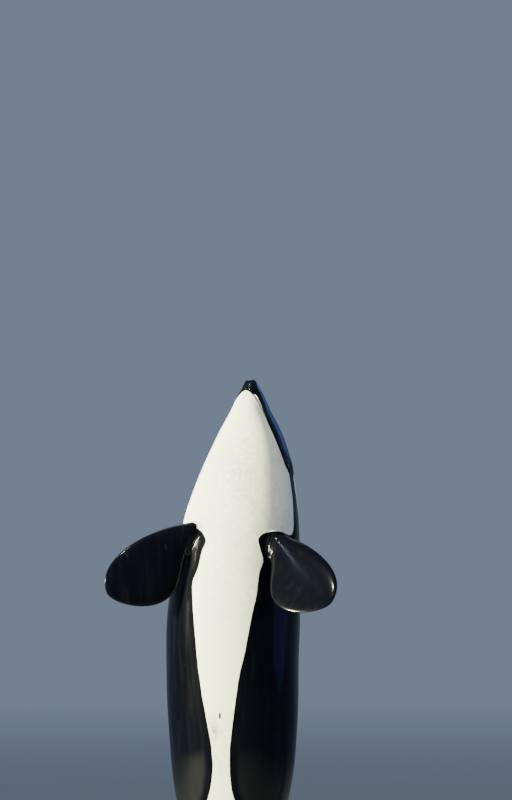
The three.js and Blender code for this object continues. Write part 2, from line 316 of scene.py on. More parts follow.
@dataclass(frozen=True)
class BodyForm:
    """The body as a surface of two parameters, the one that the solids have.

    "At" is the distance from the snout tip along the axis, in metres. The angle goes round the
    section, from the belly at 0 by the left side to the back at half a turn.
    """

    length: float = 4.0
    notch_height: float = 0.27
    axis_home: float = 1.9
    axis_steps: int = 400
    lean: float = 6.8 * DEGREE
    lean_span: Pair = (0.88, 1.68)
    head_straightens: float = 6 * DEGREE
    head_span: Pair = (0.24, 0.68)
    head_twist: float = 18 * DEGREE
    twist_span: Pair = (0.24, 0.9)
    tail_bend: float = 26 * DEGREE
    bend_span: Pair = (2.24, 3.8)
    trunk_exponent: float = 2.15
    stock_exponent: float = 1.75
    keel_span: Pair = (2.3, 3.4)
    normal_steps: Pair = (0.002, 0.01)
    locate_rounds: int = 5
    nearest_snout: float = 1e-4

    @cached_property
    def landmarks(self) -> tuple[Array, Array, Array]:
        """The square roots of the stations' places, their measures and each measure's slopes.

        A slope is the harmonic mean of the slopes on both sides, so the curve never overshoots.
        """
        table = np.array([station[1:] for station in STATIONS])
        places = np.sqrt(table[:, 0])
        slopes = np.diff(table, axis=0) / np.diff(places)[:, None]
        before, after = slopes[:-1], slopes[1:]
        same = before * after > 0
        mean = np.where(same, 2 * before * after / np.where(same, before + after, 1), 0)
        return places, table, np.vstack([slopes[:1], mean, slopes[-1:]])

    def measure(self, kind: Measure, at: Reals) -> Array:
        """A measure of the section as a cubic over the square root of the distance.

        Args:
            kind: Which measure.
            at: Distances from the snout tip.

        Returns:
            The measure at each distance, in metres.
        """
        places, table, slopes = self.landmarks
        place = np.sqrt(np.clip(at, 0, self.length))
        i = np.clip(np.searchsorted(places, place, side="right") - 1, 0, len(places) - 2)
        width = places[i + 1] - places[i]
        t = (place - places[i]) / width
        column = kind.value
        start, end = slopes[i, column] * width, slopes[i + 1, column] * width
        rise = table[i + 1, column] - table[i, column]
        square, cubic = 3 * rise - 2 * start - end, start + end - 2 * rise
        return table[i, column] + t * (start + t * (square + t * cubic))

    def radius(self, at: Reals) -> Array:
        """Mean radius of the section, which turns an angle into a distance round it."""
        height = self.measure(Measure.BACK, at) + self.measure(Measure.BELLY, at)
        return (self.measure(Measure.HALF, at) + height / 2) / 2

    def directions(self, at: Reals) -> tuple[Array, Array, Array]:
        """The body's directions at a distance: to its left, to its back and headward.

        The lean is about the line to the back, the bend about the line to the left, and the
        twist turns both round the axis.

        Args:
            at: Distances from the snout tip.

        Returns:
            The three unit vectors.
        """
        lean = self.lean * (1 - ease(at, *self.lean_span))
        lean = lean - self.head_straightens * (1 - ease(at, *self.head_span))
        bend = self.tail_bend * ease(at, *self.bend_span)
        twist = np.asarray(self.head_twist * (1 - ease(at, *self.twist_span)))[..., None]
        level = np.stack([np.cos(lean), 0 * lean, -np.sin(lean)], -1)
        rise = np.cos(lean) * np.cos(bend)
        head = unit(np.stack([np.sin(lean), -np.sin(bend), rise], -1))
        rear = np.cross(head, level)
        left = level * np.cos(twist) - rear * np.sin(twist)
        return left, rear * np.cos(twist) + level * np.sin(twist), head

    @cached_property
    def axis_points(self) -> Array:
        """The axis in even steps that each go tailward, set over the middle of the stand."""
        step = self.length / self.axis_steps
        middles = (np.arange(self.axis_steps) + 0.5) * step
        steps = -self.directions(middles)[2] * step
        points = np.vstack([np.zeros(3), np.cumsum(steps, 0)])
        home = points[round(self.axis_home / step)]
        return points + [-home[0], -home[1], self.notch_height - points[-1, 2]]

    def axis(self, at: Reals) -> Array:
        """Points of the axis at distances from the snout tip."""
        places = np.linspace(0, self.length, self.axis_steps + 1)
        return np.stack([np.interp(at, places, column) for column in self.axis_points.T], -1)

    def power(self, at: Reals) -> Array:
        """Power of sine and cosine that gives the section its outline."""
        keel = ease(at, *self.keel_span)
        return 2 / between(self.trunk_exponent, self.stock_exponent, keel)

    def surface(self, at: Reals, angle: Reals) -> Array:
        """Points of the body: half width times sinᵖ to the left, depth times −cosᵖ to the back.

        Args:
            at: Distances from the snout tip.
            angle: Angles round the section.

        Returns:
            The points, with one more axis.
        """
        at, angle = paired(at, angle)
        power = self.power(at)
        across = self.measure(Measure.HALF, at) * signed_power(np.sin(angle), power)
        up = signed_power(-np.cos(angle), power)
        belly, back = self.measure(Measure.BELLY, at), self.measure(Measure.BACK, at)
        left, rear, _ = self.directions(at)
        rise = np.where(up < 0, belly, back) * up
        return self.axis(at) + left * across[..., None] + rear * rise[..., None]

    def normal(self, at: Reals, angle: Reals) -> Array:
        """Outward unit normals, across small steps along and round the body."""
        at, angle = paired(at, angle)
        most, turn = self.normal_steps
        step = np.minimum(most, at / 2)
        along = self.surface(at + step, angle) - self.surface(at - step, angle)
        around = self.surface(at, angle + turn) - self.surface(at, angle - turn)
        return unit(np.cross(along, around))

    def locate(self, points: Array, near: float) -> tuple[Array, Array, Array]:
        """The inverse of surface: where points lie in the body's own parameters.

        Each round moves the distance along the axis by the headward part of what is left.

        Args:
            points: Places in metres.
            near: A distance along the axis close to them.

        Returns:
            Distances, angles, and how many times as far out as the surface the points are.
        """
        at = np.full(points.shape[:-1], near)
        for _ in range(self.locate_rounds):
            gone = dot(points - self.axis(at), self.directions(at)[2])
            at = np.clip(at - gone, self.nearest_snout, self.length)
        left, rear, _ = self.directions(at)
        offset = points - self.axis(at)
        depth = dot(offset, rear)
        belly, back = self.measure(Measure.BELLY, at), self.measure(Measure.BACK, at)
        x = dot(offset, left) / self.measure(Measure.HALF, at)
        y = depth / np.where(depth < 0, belly, back)
        power = self.power(at)
        sine, cosine = signed_power(x, 1 / power), -signed_power(y, 1 / power)
        return at, np.arctan2(sine, cosine), (sine**2 + cosine**2) ** (power / 2)

    def flatten(self, at: Reals, angle: Reals) -> Array:
        """Flat places: the distance along the body and the distance round it."""
        at, angle = paired(at, angle)
        return np.stack([at, angle * self.radius(at)], -1)


BODY = BodyForm()


def radians(course: Pairs) -> Array:
    """Places as rows of a distance and an angle, given in degrees, now in radians."""
    return np.array(course) * [1, DEGREE]


def mirrored(left: Array, right: Array) -> Array:
    """A closed outline from its left half and its right one, which is given on the left."""
    return np.vstack([left, (right * [1, -1])[::-1]])


@dataclass(frozen=True)
class Mouth:
    """The line between the jaws, from the tip of the chin to the corner below the eye.

    The course is in metres along the body and degrees round it. The groove is blunter under
    the chin, within the first angle of chin_span.
    """

    course: Pairs = (
        (0.0635, 0), (0.0675, 14), (0.075, 27), (0.084, 38), (0.0935, 46), (0.104, 52),
        (0.125, 58.5), (0.145, 63.5), (0.165, 67.5), (0.185, 70), (0.22, 72), (0.3, 74.5),
        (0.38, 78), (0.43, 80.5),
    )
    groove_depth: float = 0.0065
    groove_width: float = 0.0034
    lip_height: float = 0.0016
    lip_place: float = 0.009
    lip_width: float = 0.006
    jaw_step: float = 0.0025
    jaw_fade: float = 0.03
    jaw_edge: float = 0.004
    chin_share: float = 0.3
    chin_span: Pair = (0.4, 0.9)
    fade_before: float = 0.03
    fade_after: float = 0.004
    corner_dimple: float = 0.003
    corner_width: float = 0.014
    form: BodyForm = BODY

    @cached_property
    def line(self) -> Array:
        """The course as a smooth curve that crosses the middle of the chin at right angles."""
        course = np.array(self.course)
        beyond = 2 * course[-1] - course[-2]
        return smooth_curve(np.vstack([course[1] * [1, -1], course, beyond]))

    def distance(self, at: Array, angle: Array) -> Array:
        """Distance from the mouth's line, positive on the side of the upper jaw."""
        course = self.line * [1, DEGREE]
        around = np.abs(wrap(angle))
        places, line = self.form.flatten(at, around), self.form.flatten(*course.T)
        gaps = [segment_gap(places, start, end) for start, end in zip(line, line[1:])]
        above = (around > np.interp(at, *course.T)) | (at < course[0, 0])
        return np.where(above, 1, -1) * np.sqrt(np.min(gaps, 0))

    def relief(self, at: Array, angle: Array) -> Array:
        """How far the jaws stand proud: a bell-shaped groove between two rounded lips.

        Args:
            at: Distances from the snout tip.
            angle: Angles round the section.

        Returns:
            Heights over the plain surface, in metres.
        """
        gap, around = self.distance(at, angle), np.abs(wrap(angle))
        lips = sum(bump(gap + side * self.lip_place, self.lip_width) for side in (-1, 1))
        lower = np.where(gap < 0, np.exp(-np.abs(gap) / self.jaw_fade), 0)
        lower = lower * ease(np.abs(gap), 0, self.jaw_edge)
        sharp = between(self.chin_share, 1, ease(around, *self.chin_span))
        groove = self.groove_depth * sharp * bump(gap, self.groove_width / np.sqrt(sharp))
        end_at, end_angle = radians(self.course)[-1]
        fading = 1 - ease(at, end_at - self.fade_before, end_at + self.fade_after)
        height = (self.lip_height * lips - groove - self.jaw_step * lower) * fading
        from_corner = self.form.flatten(at, around) - self.form.flatten(end_at, end_angle)
        dimple = bump(np.linalg.norm(from_corner, axis=-1), self.corner_width)
        return height - self.corner_dimple * dimple


class Mark(Enum):
    """Values that the skin carries at its vertices, for its markings and folds."""

    WHITE = "white"
    SADDLE = "saddle"
    # FOLD also paints shade into the colour where it is deep.
    LIP = "lip"
    FOLD = "fold"
    # Grey patches on the white: real smudges and painted shade.
    SMUDGE = "smudge"


Marks = dict[Mark, Array]
FAR = 0.15


def plain_marks(shape: tuple[int, ...], fold: Reals = 0.0) -> Marks:
    """Marks of plain black skin, far from every border, and as deep in a fold as given, 0 to 1."""
    values = {Mark.WHITE: -FAR, Mark.SADDLE: -FAR, Mark.LIP: FAR, Mark.FOLD: fold, Mark.SMUDGE: 0.0}
    return {mark: np.broadcast_to(value, shape) for mark, value in values.items()}


class Smudge(NamedTuple):
    """A faint grey patch on the white, a real smudge in one place and painted shade in others: a
    bell with its own length and width.
    """

    at: float
    degrees: float
    length: float
    width: float
    strength: float


@dataclass(frozen=True)
class Markings:
    """The white and grey fields, as outlines of distance along the body and degrees round it."""

    left_border: Pairs = (
        (0.0665, 3), (0.0698, 14), (0.0768, 26), (0.0845, 38), (0.0905, 50), (0.0996, 58.5),
        (0.1161, 64.5), (0.1405, 69), (0.162, 71.2), (0.2, 72.7), (0.27, 73.8), (0.34, 76),
        (0.42, 79), (0.485, 80.5), (0.505, 84), (0.53, 86), (0.59, 84), (0.66, 82), (0.75, 77.5),
        (0.82, 74.5), (0.858, 70), (0.864, 62), (0.852, 52), (0.854, 41), (0.87, 31),
        (0.904, 25.5), (0.954, 27.5), (1.026, 32), (1.097, 29), (1.215, 28), (1.33, 25),
        (1.46, 21.5), (1.57, 18.5), (1.68, 14.5), (1.81, 11.5), (1.934, 9), (2.045, 7),
        (2.17, 6), (2.307, 7), (2.375, 10), (2.44, 16),
    )
    right_border: Pairs = (
        (0.0665, 3), (0.0694, 13), (0.076, 25), (0.085, 37), (0.099, 50), (0.118, 61),
        (0.145, 68), (0.2, 71.5), (0.27, 73), (0.34, 76), (0.42, 79), (0.485, 80.5), (0.505, 84),
        (0.53, 86), (0.59, 84), (0.66, 82), (0.75, 77.5), (0.82, 75), (0.872, 70), (0.874, 60),
        (0.862, 50), (0.86, 43.5), (0.894, 32), (0.922, 26), (0.956, 22.5), (1.004, 25),
        (1.048, 25.5), (1.109, 26.5), (1.171, 30), (1.219, 29.5), (1.317, 26.5), (1.467, 22.5),
        (1.654, 19.5), (1.812, 16), (1.934, 12.5), (2.073, 9), (2.203, 8), (2.309, 11),
        (2.375, 15), (2.44, 21),
    )
    flank: Pairs = (
        (2.5, 28), (2.57, 43), (2.65, 58), (2.75, 72), (2.87, 84), (2.99, 92), (3.09, 97),
        (3.07, 90), (2.97, 79), (2.87, 65), (2.79, 50), (2.75, 38), (2.78, 27), (2.86, 19),
        (2.95, 12), (3.02, 5),
    )
    eye_patch: Pairs = (
        (0.525, 101), (0.56, 97.5), (0.62, 97), (0.7, 98.5), (0.77, 102), (0.815, 107),
        (0.8, 113), (0.74, 117), (0.66, 118), (0.585, 114), (0.535, 107),
    )
    saddle: Pairs = (
        (2.06, 9), (1.97, 20), (1.94, 32), (2.02, 43), (2.15, 48), (2.28, 44), (2.42, 33),
        (2.53, 20), (2.6, 8),
    )
    smudges_and_shades: tuple[Smudge, ...] = (
        # A real grey smudge by the navel.
        Smudge(1.995, -6, 0.055, 0.02, 0.95),
        # Painted shade: a soft shadow beside the left flipper's root.
        Smudge(0.862, 21, 0.02, 0.035, 0.3),
        # Painted shade: the darker middle of the throat.
        Smudge(0.53, 8, 0.24, 0.11, 0.35),
    )
    form: BodyForm = BODY
    mouth: Mouth = Mouth()

    def smudge_and_shade_strength(self, at: Array, angle: Array) -> Array:
        """Strength of the grey patches, real and painted shade, of which the strongest shows at
        each place.
        """
        strength = np.zeros(np.shape(at))
        for smudge in self.smudges_and_shades:
            around = (angle - smudge.degrees * DEGREE) * self.form.radius(smudge.at)
            far = np.hypot((at - smudge.at) / smudge.length, around / smudge.width)
            strength = np.maximum(strength, smudge.strength * bump(far, 1.0))
        return strength

    @cached_property
    def outlines(self) -> list[Array]:
        """Flat outlines of the belly's field, the left eye patch, and the saddle from the back."""
        left = radians((*self.left_border, *self.flank))
        right = radians((*self.right_border, *self.flank))
        saddle = radians(self.saddle)
        fields = [mirrored(left, right), radians(self.eye_patch), mirrored(saddle, saddle)]
        return [smooth_outline(self.form.flatten(*places.T)) for places in fields]

    def read(self, at: Array, angle: Array) -> Marks:
        """The marks at places of the body.

        Args:
            at: Distances from the snout tip.
            angle: Angles round the section, of any number of turns.

        Returns:
            One array for each mark, in metres from the field's border.
        """
        signed = wrap(angle)
        around = signed, np.abs(signed), np.pi - np.abs(signed)
        belly, patch, saddle = (
            outline_distance(self.form.flatten(at, turn), outline)
            for turn, outline in zip(around, self.outlines)
        )
        return {
            Mark.WHITE: np.clip(np.maximum(belly, patch), -FAR, FAR),
            Mark.SADDLE: np.clip(saddle, -FAR, FAR),
            Mark.LIP: np.clip(self.mouth.distance(at, angle), -FAR, FAR),
            Mark.FOLD: np.zeros(saddle.shape),
            Mark.SMUDGE: self.smudge_and_shade_strength(at, signed),
        }


@dataclass(frozen=True)
class BodySkin:
    """The skin of the body: the plain surface, moved along its normals by the relief.

    A wave has its rates along and round the body and its start. The waves grow over the first
    span of the body and die down over the last one.
    """

    form: BodyForm = BODY
    mouth: Mouth = Mouth()
    markings: Markings = Markings()
    swell: float = 0.0016
    waves: tuple[Triple, ...] = ((7.3, 3, 0.0), (11.9, -2, 1.7))
    wave_spans: Spans = ((0.3, 1.0), (3.0, 3.5))
    brow_at: float = 0.47
    brow_angle: float = 104 * DEGREE
    brow_stretch: float = 1.7
    brow_height: float = 0.005
    brow_width: float = 0.035

    def relief(self, at: Array, angle: Array) -> Array:
        """Height of the skin: the jaws, a low brow over each eye and soft waves of sines."""
        aside = (np.abs(wrap(angle)) - self.brow_angle) * self.form.radius(at)
        brow = bump(np.hypot((at - self.brow_at) / self.brow_stretch, aside), self.brow_width)
        waves = sum(
            np.sin(along * at + around * angle + start) for along, around, start in self.waves)
        grow, fall = self.wave_spans
        calm = ease(at, *grow) * (1 - ease(at, *fall))
        jaws = self.mouth.relief(at, angle)
        return jaws + self.brow_height * brow + self.swell * waves * calm

    def point(self, at: Array, angle: Array, lift: Reals = 0.0) -> Array:
        """Points of the skin, moved out by lift."""
        height = self.relief(at, angle) + lift
        return self.form.surface(at, angle) + self.form.normal(at, angle) * height[..., None]

    def marks(self, at: Array, angle: Array) -> Marks:
        """The markings at places of the skin."""
        return self.markings.read(at, angle)


class Island(NamedTuple):
    """A rectangle of the flat map that a stretch of the skin fills."""

    low: Pair
    high: Pair

    @classmethod
    def square(cls, low: Pair, size: float) -> "Island":
        """A small square for a cap, by its low corner."""
        return cls(low, (low[0] + size, low[1] + size))

    def place(self, first: Reals, second: Reals) -> Array:
        """Map coordinates for shares along the rectangle's two sides."""
        low, high = np.array(self.low), np.array(self.high)
        return low + np.stack(np.broadcast_arrays(first, second), -1) * (high - low)


@dataclass(frozen=True)
class Opening:
    """A rectangle left out of the body's grid, and the loop of vertices round it.

    Turn is the angle of each loop vertex about the middle, as if the rectangle were square:
    0 towards the tail and a quarter turn towards growing angles.
    """

    rows: tuple[int, int]
    columns: tuple[int, int]
    loop: Array
    at: Array
    angle: Array
    turn: Array


@dataclass
class BodyGrid:
    """Rows and columns of the body's vertices, closer together where there is more to show.

    Each pair of lengths is the end of a stretch and its rows. The columns follow the mouth
    outwards of line_from degrees and as far as line_ends, and crowd between the crowd_spans.
    """

    skin: BodySkin
    columns: int = 168
    first: float = 0.0006
    snout_end: float = 0.1
    snout_rows: int = 56
    lengths: tuple[tuple[float, int], ...] = ((0.56, 92), (0.8, 24), (1.16, 36), (3.585, 104))
    mouth_column: int = 33
    line_from: float = 50
    line_ends: Pair = (0.44, 0.56)
    crowding: float = 0.72
    crowd_width: float = 0.07
    crowd_spans: Spans = ((0.07, 0.12), (0.42, 0.52))

    @cached_property
    def at(self) -> Array:
        """Distances of the rows: even square roots at the snout, then even steps."""
        roots = np.linspace(math.sqrt(self.first), math.sqrt(self.snout_end), self.snout_rows)
        rows, start = [roots**2], self.snout_end
        for end, count in self.lengths:
            rows.append(np.linspace(start, end, count + 1)[1:])
            start = end
        return np.concatenate(rows)

    @cached_property
    def angles(self) -> Array:
        """Angles of the columns at each row, crowded along the line of the mouth.

        The step between columns shrinks by a bell about the mouth's column, and each side of
        it is stretched so that this column stays on the line.
        """
        half = self.columns // 2
        share = np.arange(half + 1) / half
        middle = self.mouth_column / half
        places, degrees = self.skin.mouth.line.T
        line = np.interp(self.at, places, np.maximum(degrees, self.line_from)) * DEGREE
        line = between(line, middle * np.pi, ease(self.at, *self.line_ends))[:, None]
        grow, fall = self.crowd_spans
        crowd = self.crowding * ease(self.at, *grow) * (1 - ease(self.at, *fall))
        density = 1 - crowd[:, None] * bump(share - middle, self.crowd_width)
        steps = (density[:, 1:] + density[:, :-1]) / 2
        run = np.concatenate([np.zeros((len(self.at), 1)), np.cumsum(steps, 1)], 1)
        at_mouth = run[:, self.mouth_column, None]
        lower = line * run / at_mouth
        upper = line + (np.pi - line) * (run - at_mouth) / (run[:, -1:] - at_mouth)
        side = np.where(share <= middle, lower, upper)
        return np.concatenate([side, TURN - side[:, -2:0:-1]], 1)

    def angle(self, row: Array | int, column: Array) -> Array:
        """The angle at a row and a column, which may be below 0 or past the last one."""
        turns = np.floor_divide(column, self.columns)
        return self.angles[row, np.mod(column, self.columns)] + TURN * turns

    def opening(self, at: Pair, angle: Pair) -> Opening:
        """The rectangle nearest to two spans, with an even number of rows and columns.

        Args:
            at: First and last distance from the snout tip.
            angle: First and last angle, in radians.

        Returns:
            The opening.
        """
        top, bottom = (int(np.abs(self.at - place).argmin()) for place in at)
        bottom += (bottom - top) % 2
        middle = (top + bottom) // 2
        numbers = np.arange(-self.columns, 2 * self.columns)
        angles = self.angle(middle, numbers)
        left, right = (int(numbers[np.abs(angles - place).argmin()]) for place in angle)
        right += (right - left) % 2
        across, down = np.arange(left, right), np.arange(top, bottom)
        rows = np.concatenate([0 * across + top, down, 0 * across + bottom, down[::-1] + 1])
        columns = np.concatenate([across, 0 * down + right, across[::-1] + 1, 0 * down + left])
        tailward = (rows - middle) / (bottom - top)
        around = (columns - (left + right) / 2) / (right - left)
        loop = rows * self.columns + np.mod(columns, self.columns)
        return Opening((top, bottom), (left, right), loop, self.at[rows],
                       self.angle(rows, columns), np.arctan2(around, tailward))

    def kept(self, openings: Sequence[Opening]) -> Array:
        """Which quads of the grid are outside every opening."""
        keep = np.ones((len(self.at) - 1, self.columns), bool)
        for opening in openings:
            columns = np.mod(np.arange(*opening.columns), self.columns)
            keep[slice(*opening.rows), columns] = False
        return keep


class SkinBuilder:
    """Collects the vertices and faces of one closed skin, stretch by stretch."""

    def __init__(self, skin: BodySkin, grid: BodyGrid) -> None:
        """Starts with nothing but the surface and the grid that all stretches keep to."""
        self.skin, self.grid = skin, grid
        self.count = 0
        self.points: list[Array] = []
        self.marks: dict[Mark, list[Array]] = {mark: [] for mark in Mark}
        self.faces: list[tuple[Array, Array]] = []

    def add(self, points: Array, marks: Marks) -> Array:
        """Adds vertices with their marks, and gives their numbers in the shape of the points."""
        shape = points.shape[:-1]
        numbers = np.arange(self.count, self.count + math.prod(shape)).reshape(shape)
        self.count += numbers.size
        self.points.append(points.reshape(-1, 3))
        for mark in Mark:
            self.marks[mark].append(np.broadcast_to(marks[mark], shape).ravel())
        return numbers

    def loft(self, rings: Array, island: Island, keep: Array | None = None,
             rises: Array | None = None) -> None:
        """Quads between successive closed rings.

        Args:
            rings: Vertex numbers, one ring a row.
            island: Where the stretch lies on the flat map.
            keep: Which quads are made, all if it is left out.
            rises: Share of the island's first side at each ring, even if left out.
        """
        rows, columns = rings.shape
        share = np.linspace(0, 1, rows) if rises is None else rises
        quads = ring_quads(rings)
        around = np.arange(columns) / columns
        ahead = around + 1 / columns
        low, high = share[:-1, None], share[1:, None]
        corners = [(low, around), (low, ahead), (high, ahead), (high, around)]
        maps = np.stack([island.place(a, b) for a, b in corners], -2)
        chosen = np.ones(quads.shape[:2], bool) if keep is None else keep
        self.faces.append((quads[chosen], maps[chosen]))

    def fan(self, ring: Array, point: Array, island: Island, fold: float = 0.0) -> None:
        """Closes a ring with triangles to a pole of plain skin.

        Args:
            ring: Vertex numbers round the hole.
            point: The pole's place.
            island: Where the cap lies on the flat map.
            fold: How deep in a fold the pole is.
        """
        pole = self.add(point.reshape(1, 3), plain_marks((1,), fold))
        turn = circle(len(ring))
        triangles = np.stack([ring, np.roll(ring, -1), np.broadcast_to(pole, ring.shape)], -1)
        rim, next_rim = (
            island.place(0.5 + 0.5 * np.cos(a), 0.5 + 0.5 * np.sin(a))
            for a in (turn, turn + TURN / len(ring))
        )
        middle = island.place(np.full(len(ring), 0.5), 0.5)
        self.faces.append((triangles, np.stack([rim, next_rim, middle], -2)))

    def zip_shut(self, ring: Array, start: int, island: Island) -> None:
        """Closes a ring that lies nearly on a line, with faces between its two sides.

        Args:
            ring: Vertex numbers, an even number of them.
            start: Index of the vertex at one end of the line.
            island: Where the seam lies on the flat map.
        """
        half = len(ring) // 2
        one = np.roll(ring, -start)[: half + 1]
        other = np.roll(ring[::-1], start + 1)[: half + 1]
        share = np.arange(half + 1) / half
        lower, upper = island.place(share, 0.0), island.place(share, 1.0)
        quads, maps = (
            np.stack([a[1:-2], a[2:-1], b[2:-1], b[1:-2]], -1 if a.ndim == 1 else -2)
            for a, b in ((one, other), (lower, upper))
        )
        ends, end_maps = (
            np.array([[a[0], a[1], b[1]], [a[-1], b[-2], a[-2]]])
            for a, b in ((one, other), (lower, upper))
        )
        self.faces += [(quads, maps), (ends, end_maps)]

    def build(self, name: str) -> Piece:
        """The mesh with its marks and flat map, without vertices that no face uses."""
        points = np.vstack(self.points)
        used = np.unique(np.concatenate([faces.ravel() for faces, _ in self.faces]))
        renumber = np.zeros(len(points), np.int64)
        renumber[used] = np.arange(len(used))
        piece = make_mesh(name, points[used], [renumber[face] for face, _ in self.faces])
        for mark, parts in self.marks.items():
            carry(piece, mark.value, np.concatenate(parts)[used])
        flat_map = piece.data.uv_layers.new(name="OFBake")
        places = np.concatenate([flat.reshape(-1, 2) for _, flat in self.faces])
        flat_map.data.foreach_set("uv", places.astype(np.float32).ravel())
        return turn_outwards(piece)


@dataclass(frozen=True)
class FinForm:
    """A fin's outline as two Bezier curves that meet at the tip, and its greatest thickness.

    The first number of a point is the distance out from the middle of the root, the second
    the distance towards the tail.
    """

    leading: Pairs
    trailing: Pairs
    thickness: float
    fullness: float = 0.35
    thinning: float = 0.75

    def section(self, t: Reals, turn: Reals) -> Array:
        """Points of the fin in its own directions: out, towards the tail and through.

        A section joins the two outlines at share t. Round it, the chord follows
        (1 − cos) / 2 and the surface rises by sin · (1 + fullness · cos).

        Args:
            t: Share of the way from root to tip.
            turn: Angle round the section, 0 at the leading edge.

        Returns:
            The points, with one more axis.
        """
        t, turn = paired(t, turn)
        leading, trailing = bezier(self.leading, t), bezier(self.trailing, t)
        half = self.thickness / 2 * np.maximum(1 - t, 0) ** self.thinning
        chord = ((1 - np.cos(turn)) / 2)[..., None]
        raised = half * np.sin(turn) * (1 + self.fullness * np.cos(turn))
        return np.concatenate([between(leading, trailing, chord), raised[..., None]], -1)


@dataclass(frozen=True)
class Blade:
    """Where a fin stands: its root and its directions out, towards the tail and through."""

    root: Array
    out: Array
    along: Array
    through: Array

    @classmethod
    def standing(cls, root: Array, out: Array, head: Array, roll: float = 0.0) -> "Blade":
        """A blade at right angles to out and headward, turned about out by roll."""
        through = unit(np.cross(out, head))
        through = through * math.cos(roll) + np.cross(out, through) * math.sin(roll)
        return cls(root, out, np.cross(out, through), through)

    def place(self, local: Array) -> Array:
        """Places in the frame for points in the blade's own directions."""
        return self.root + local @ np.stack([self.out, self.along, self.through])


def first_crossing(places: Array, values: Array) -> Array:
    """Places of rows where each column of values first rises above 0, between two rows."""
    after = np.maximum((values > 0).argmax(0), 1)
    columns = np.arange(values.shape[1])
    low, high = values[after - 1, columns], values[after, columns]
    start, end = places[after - 1], places[after]
    return start + (end - start) * -low / (high - low)


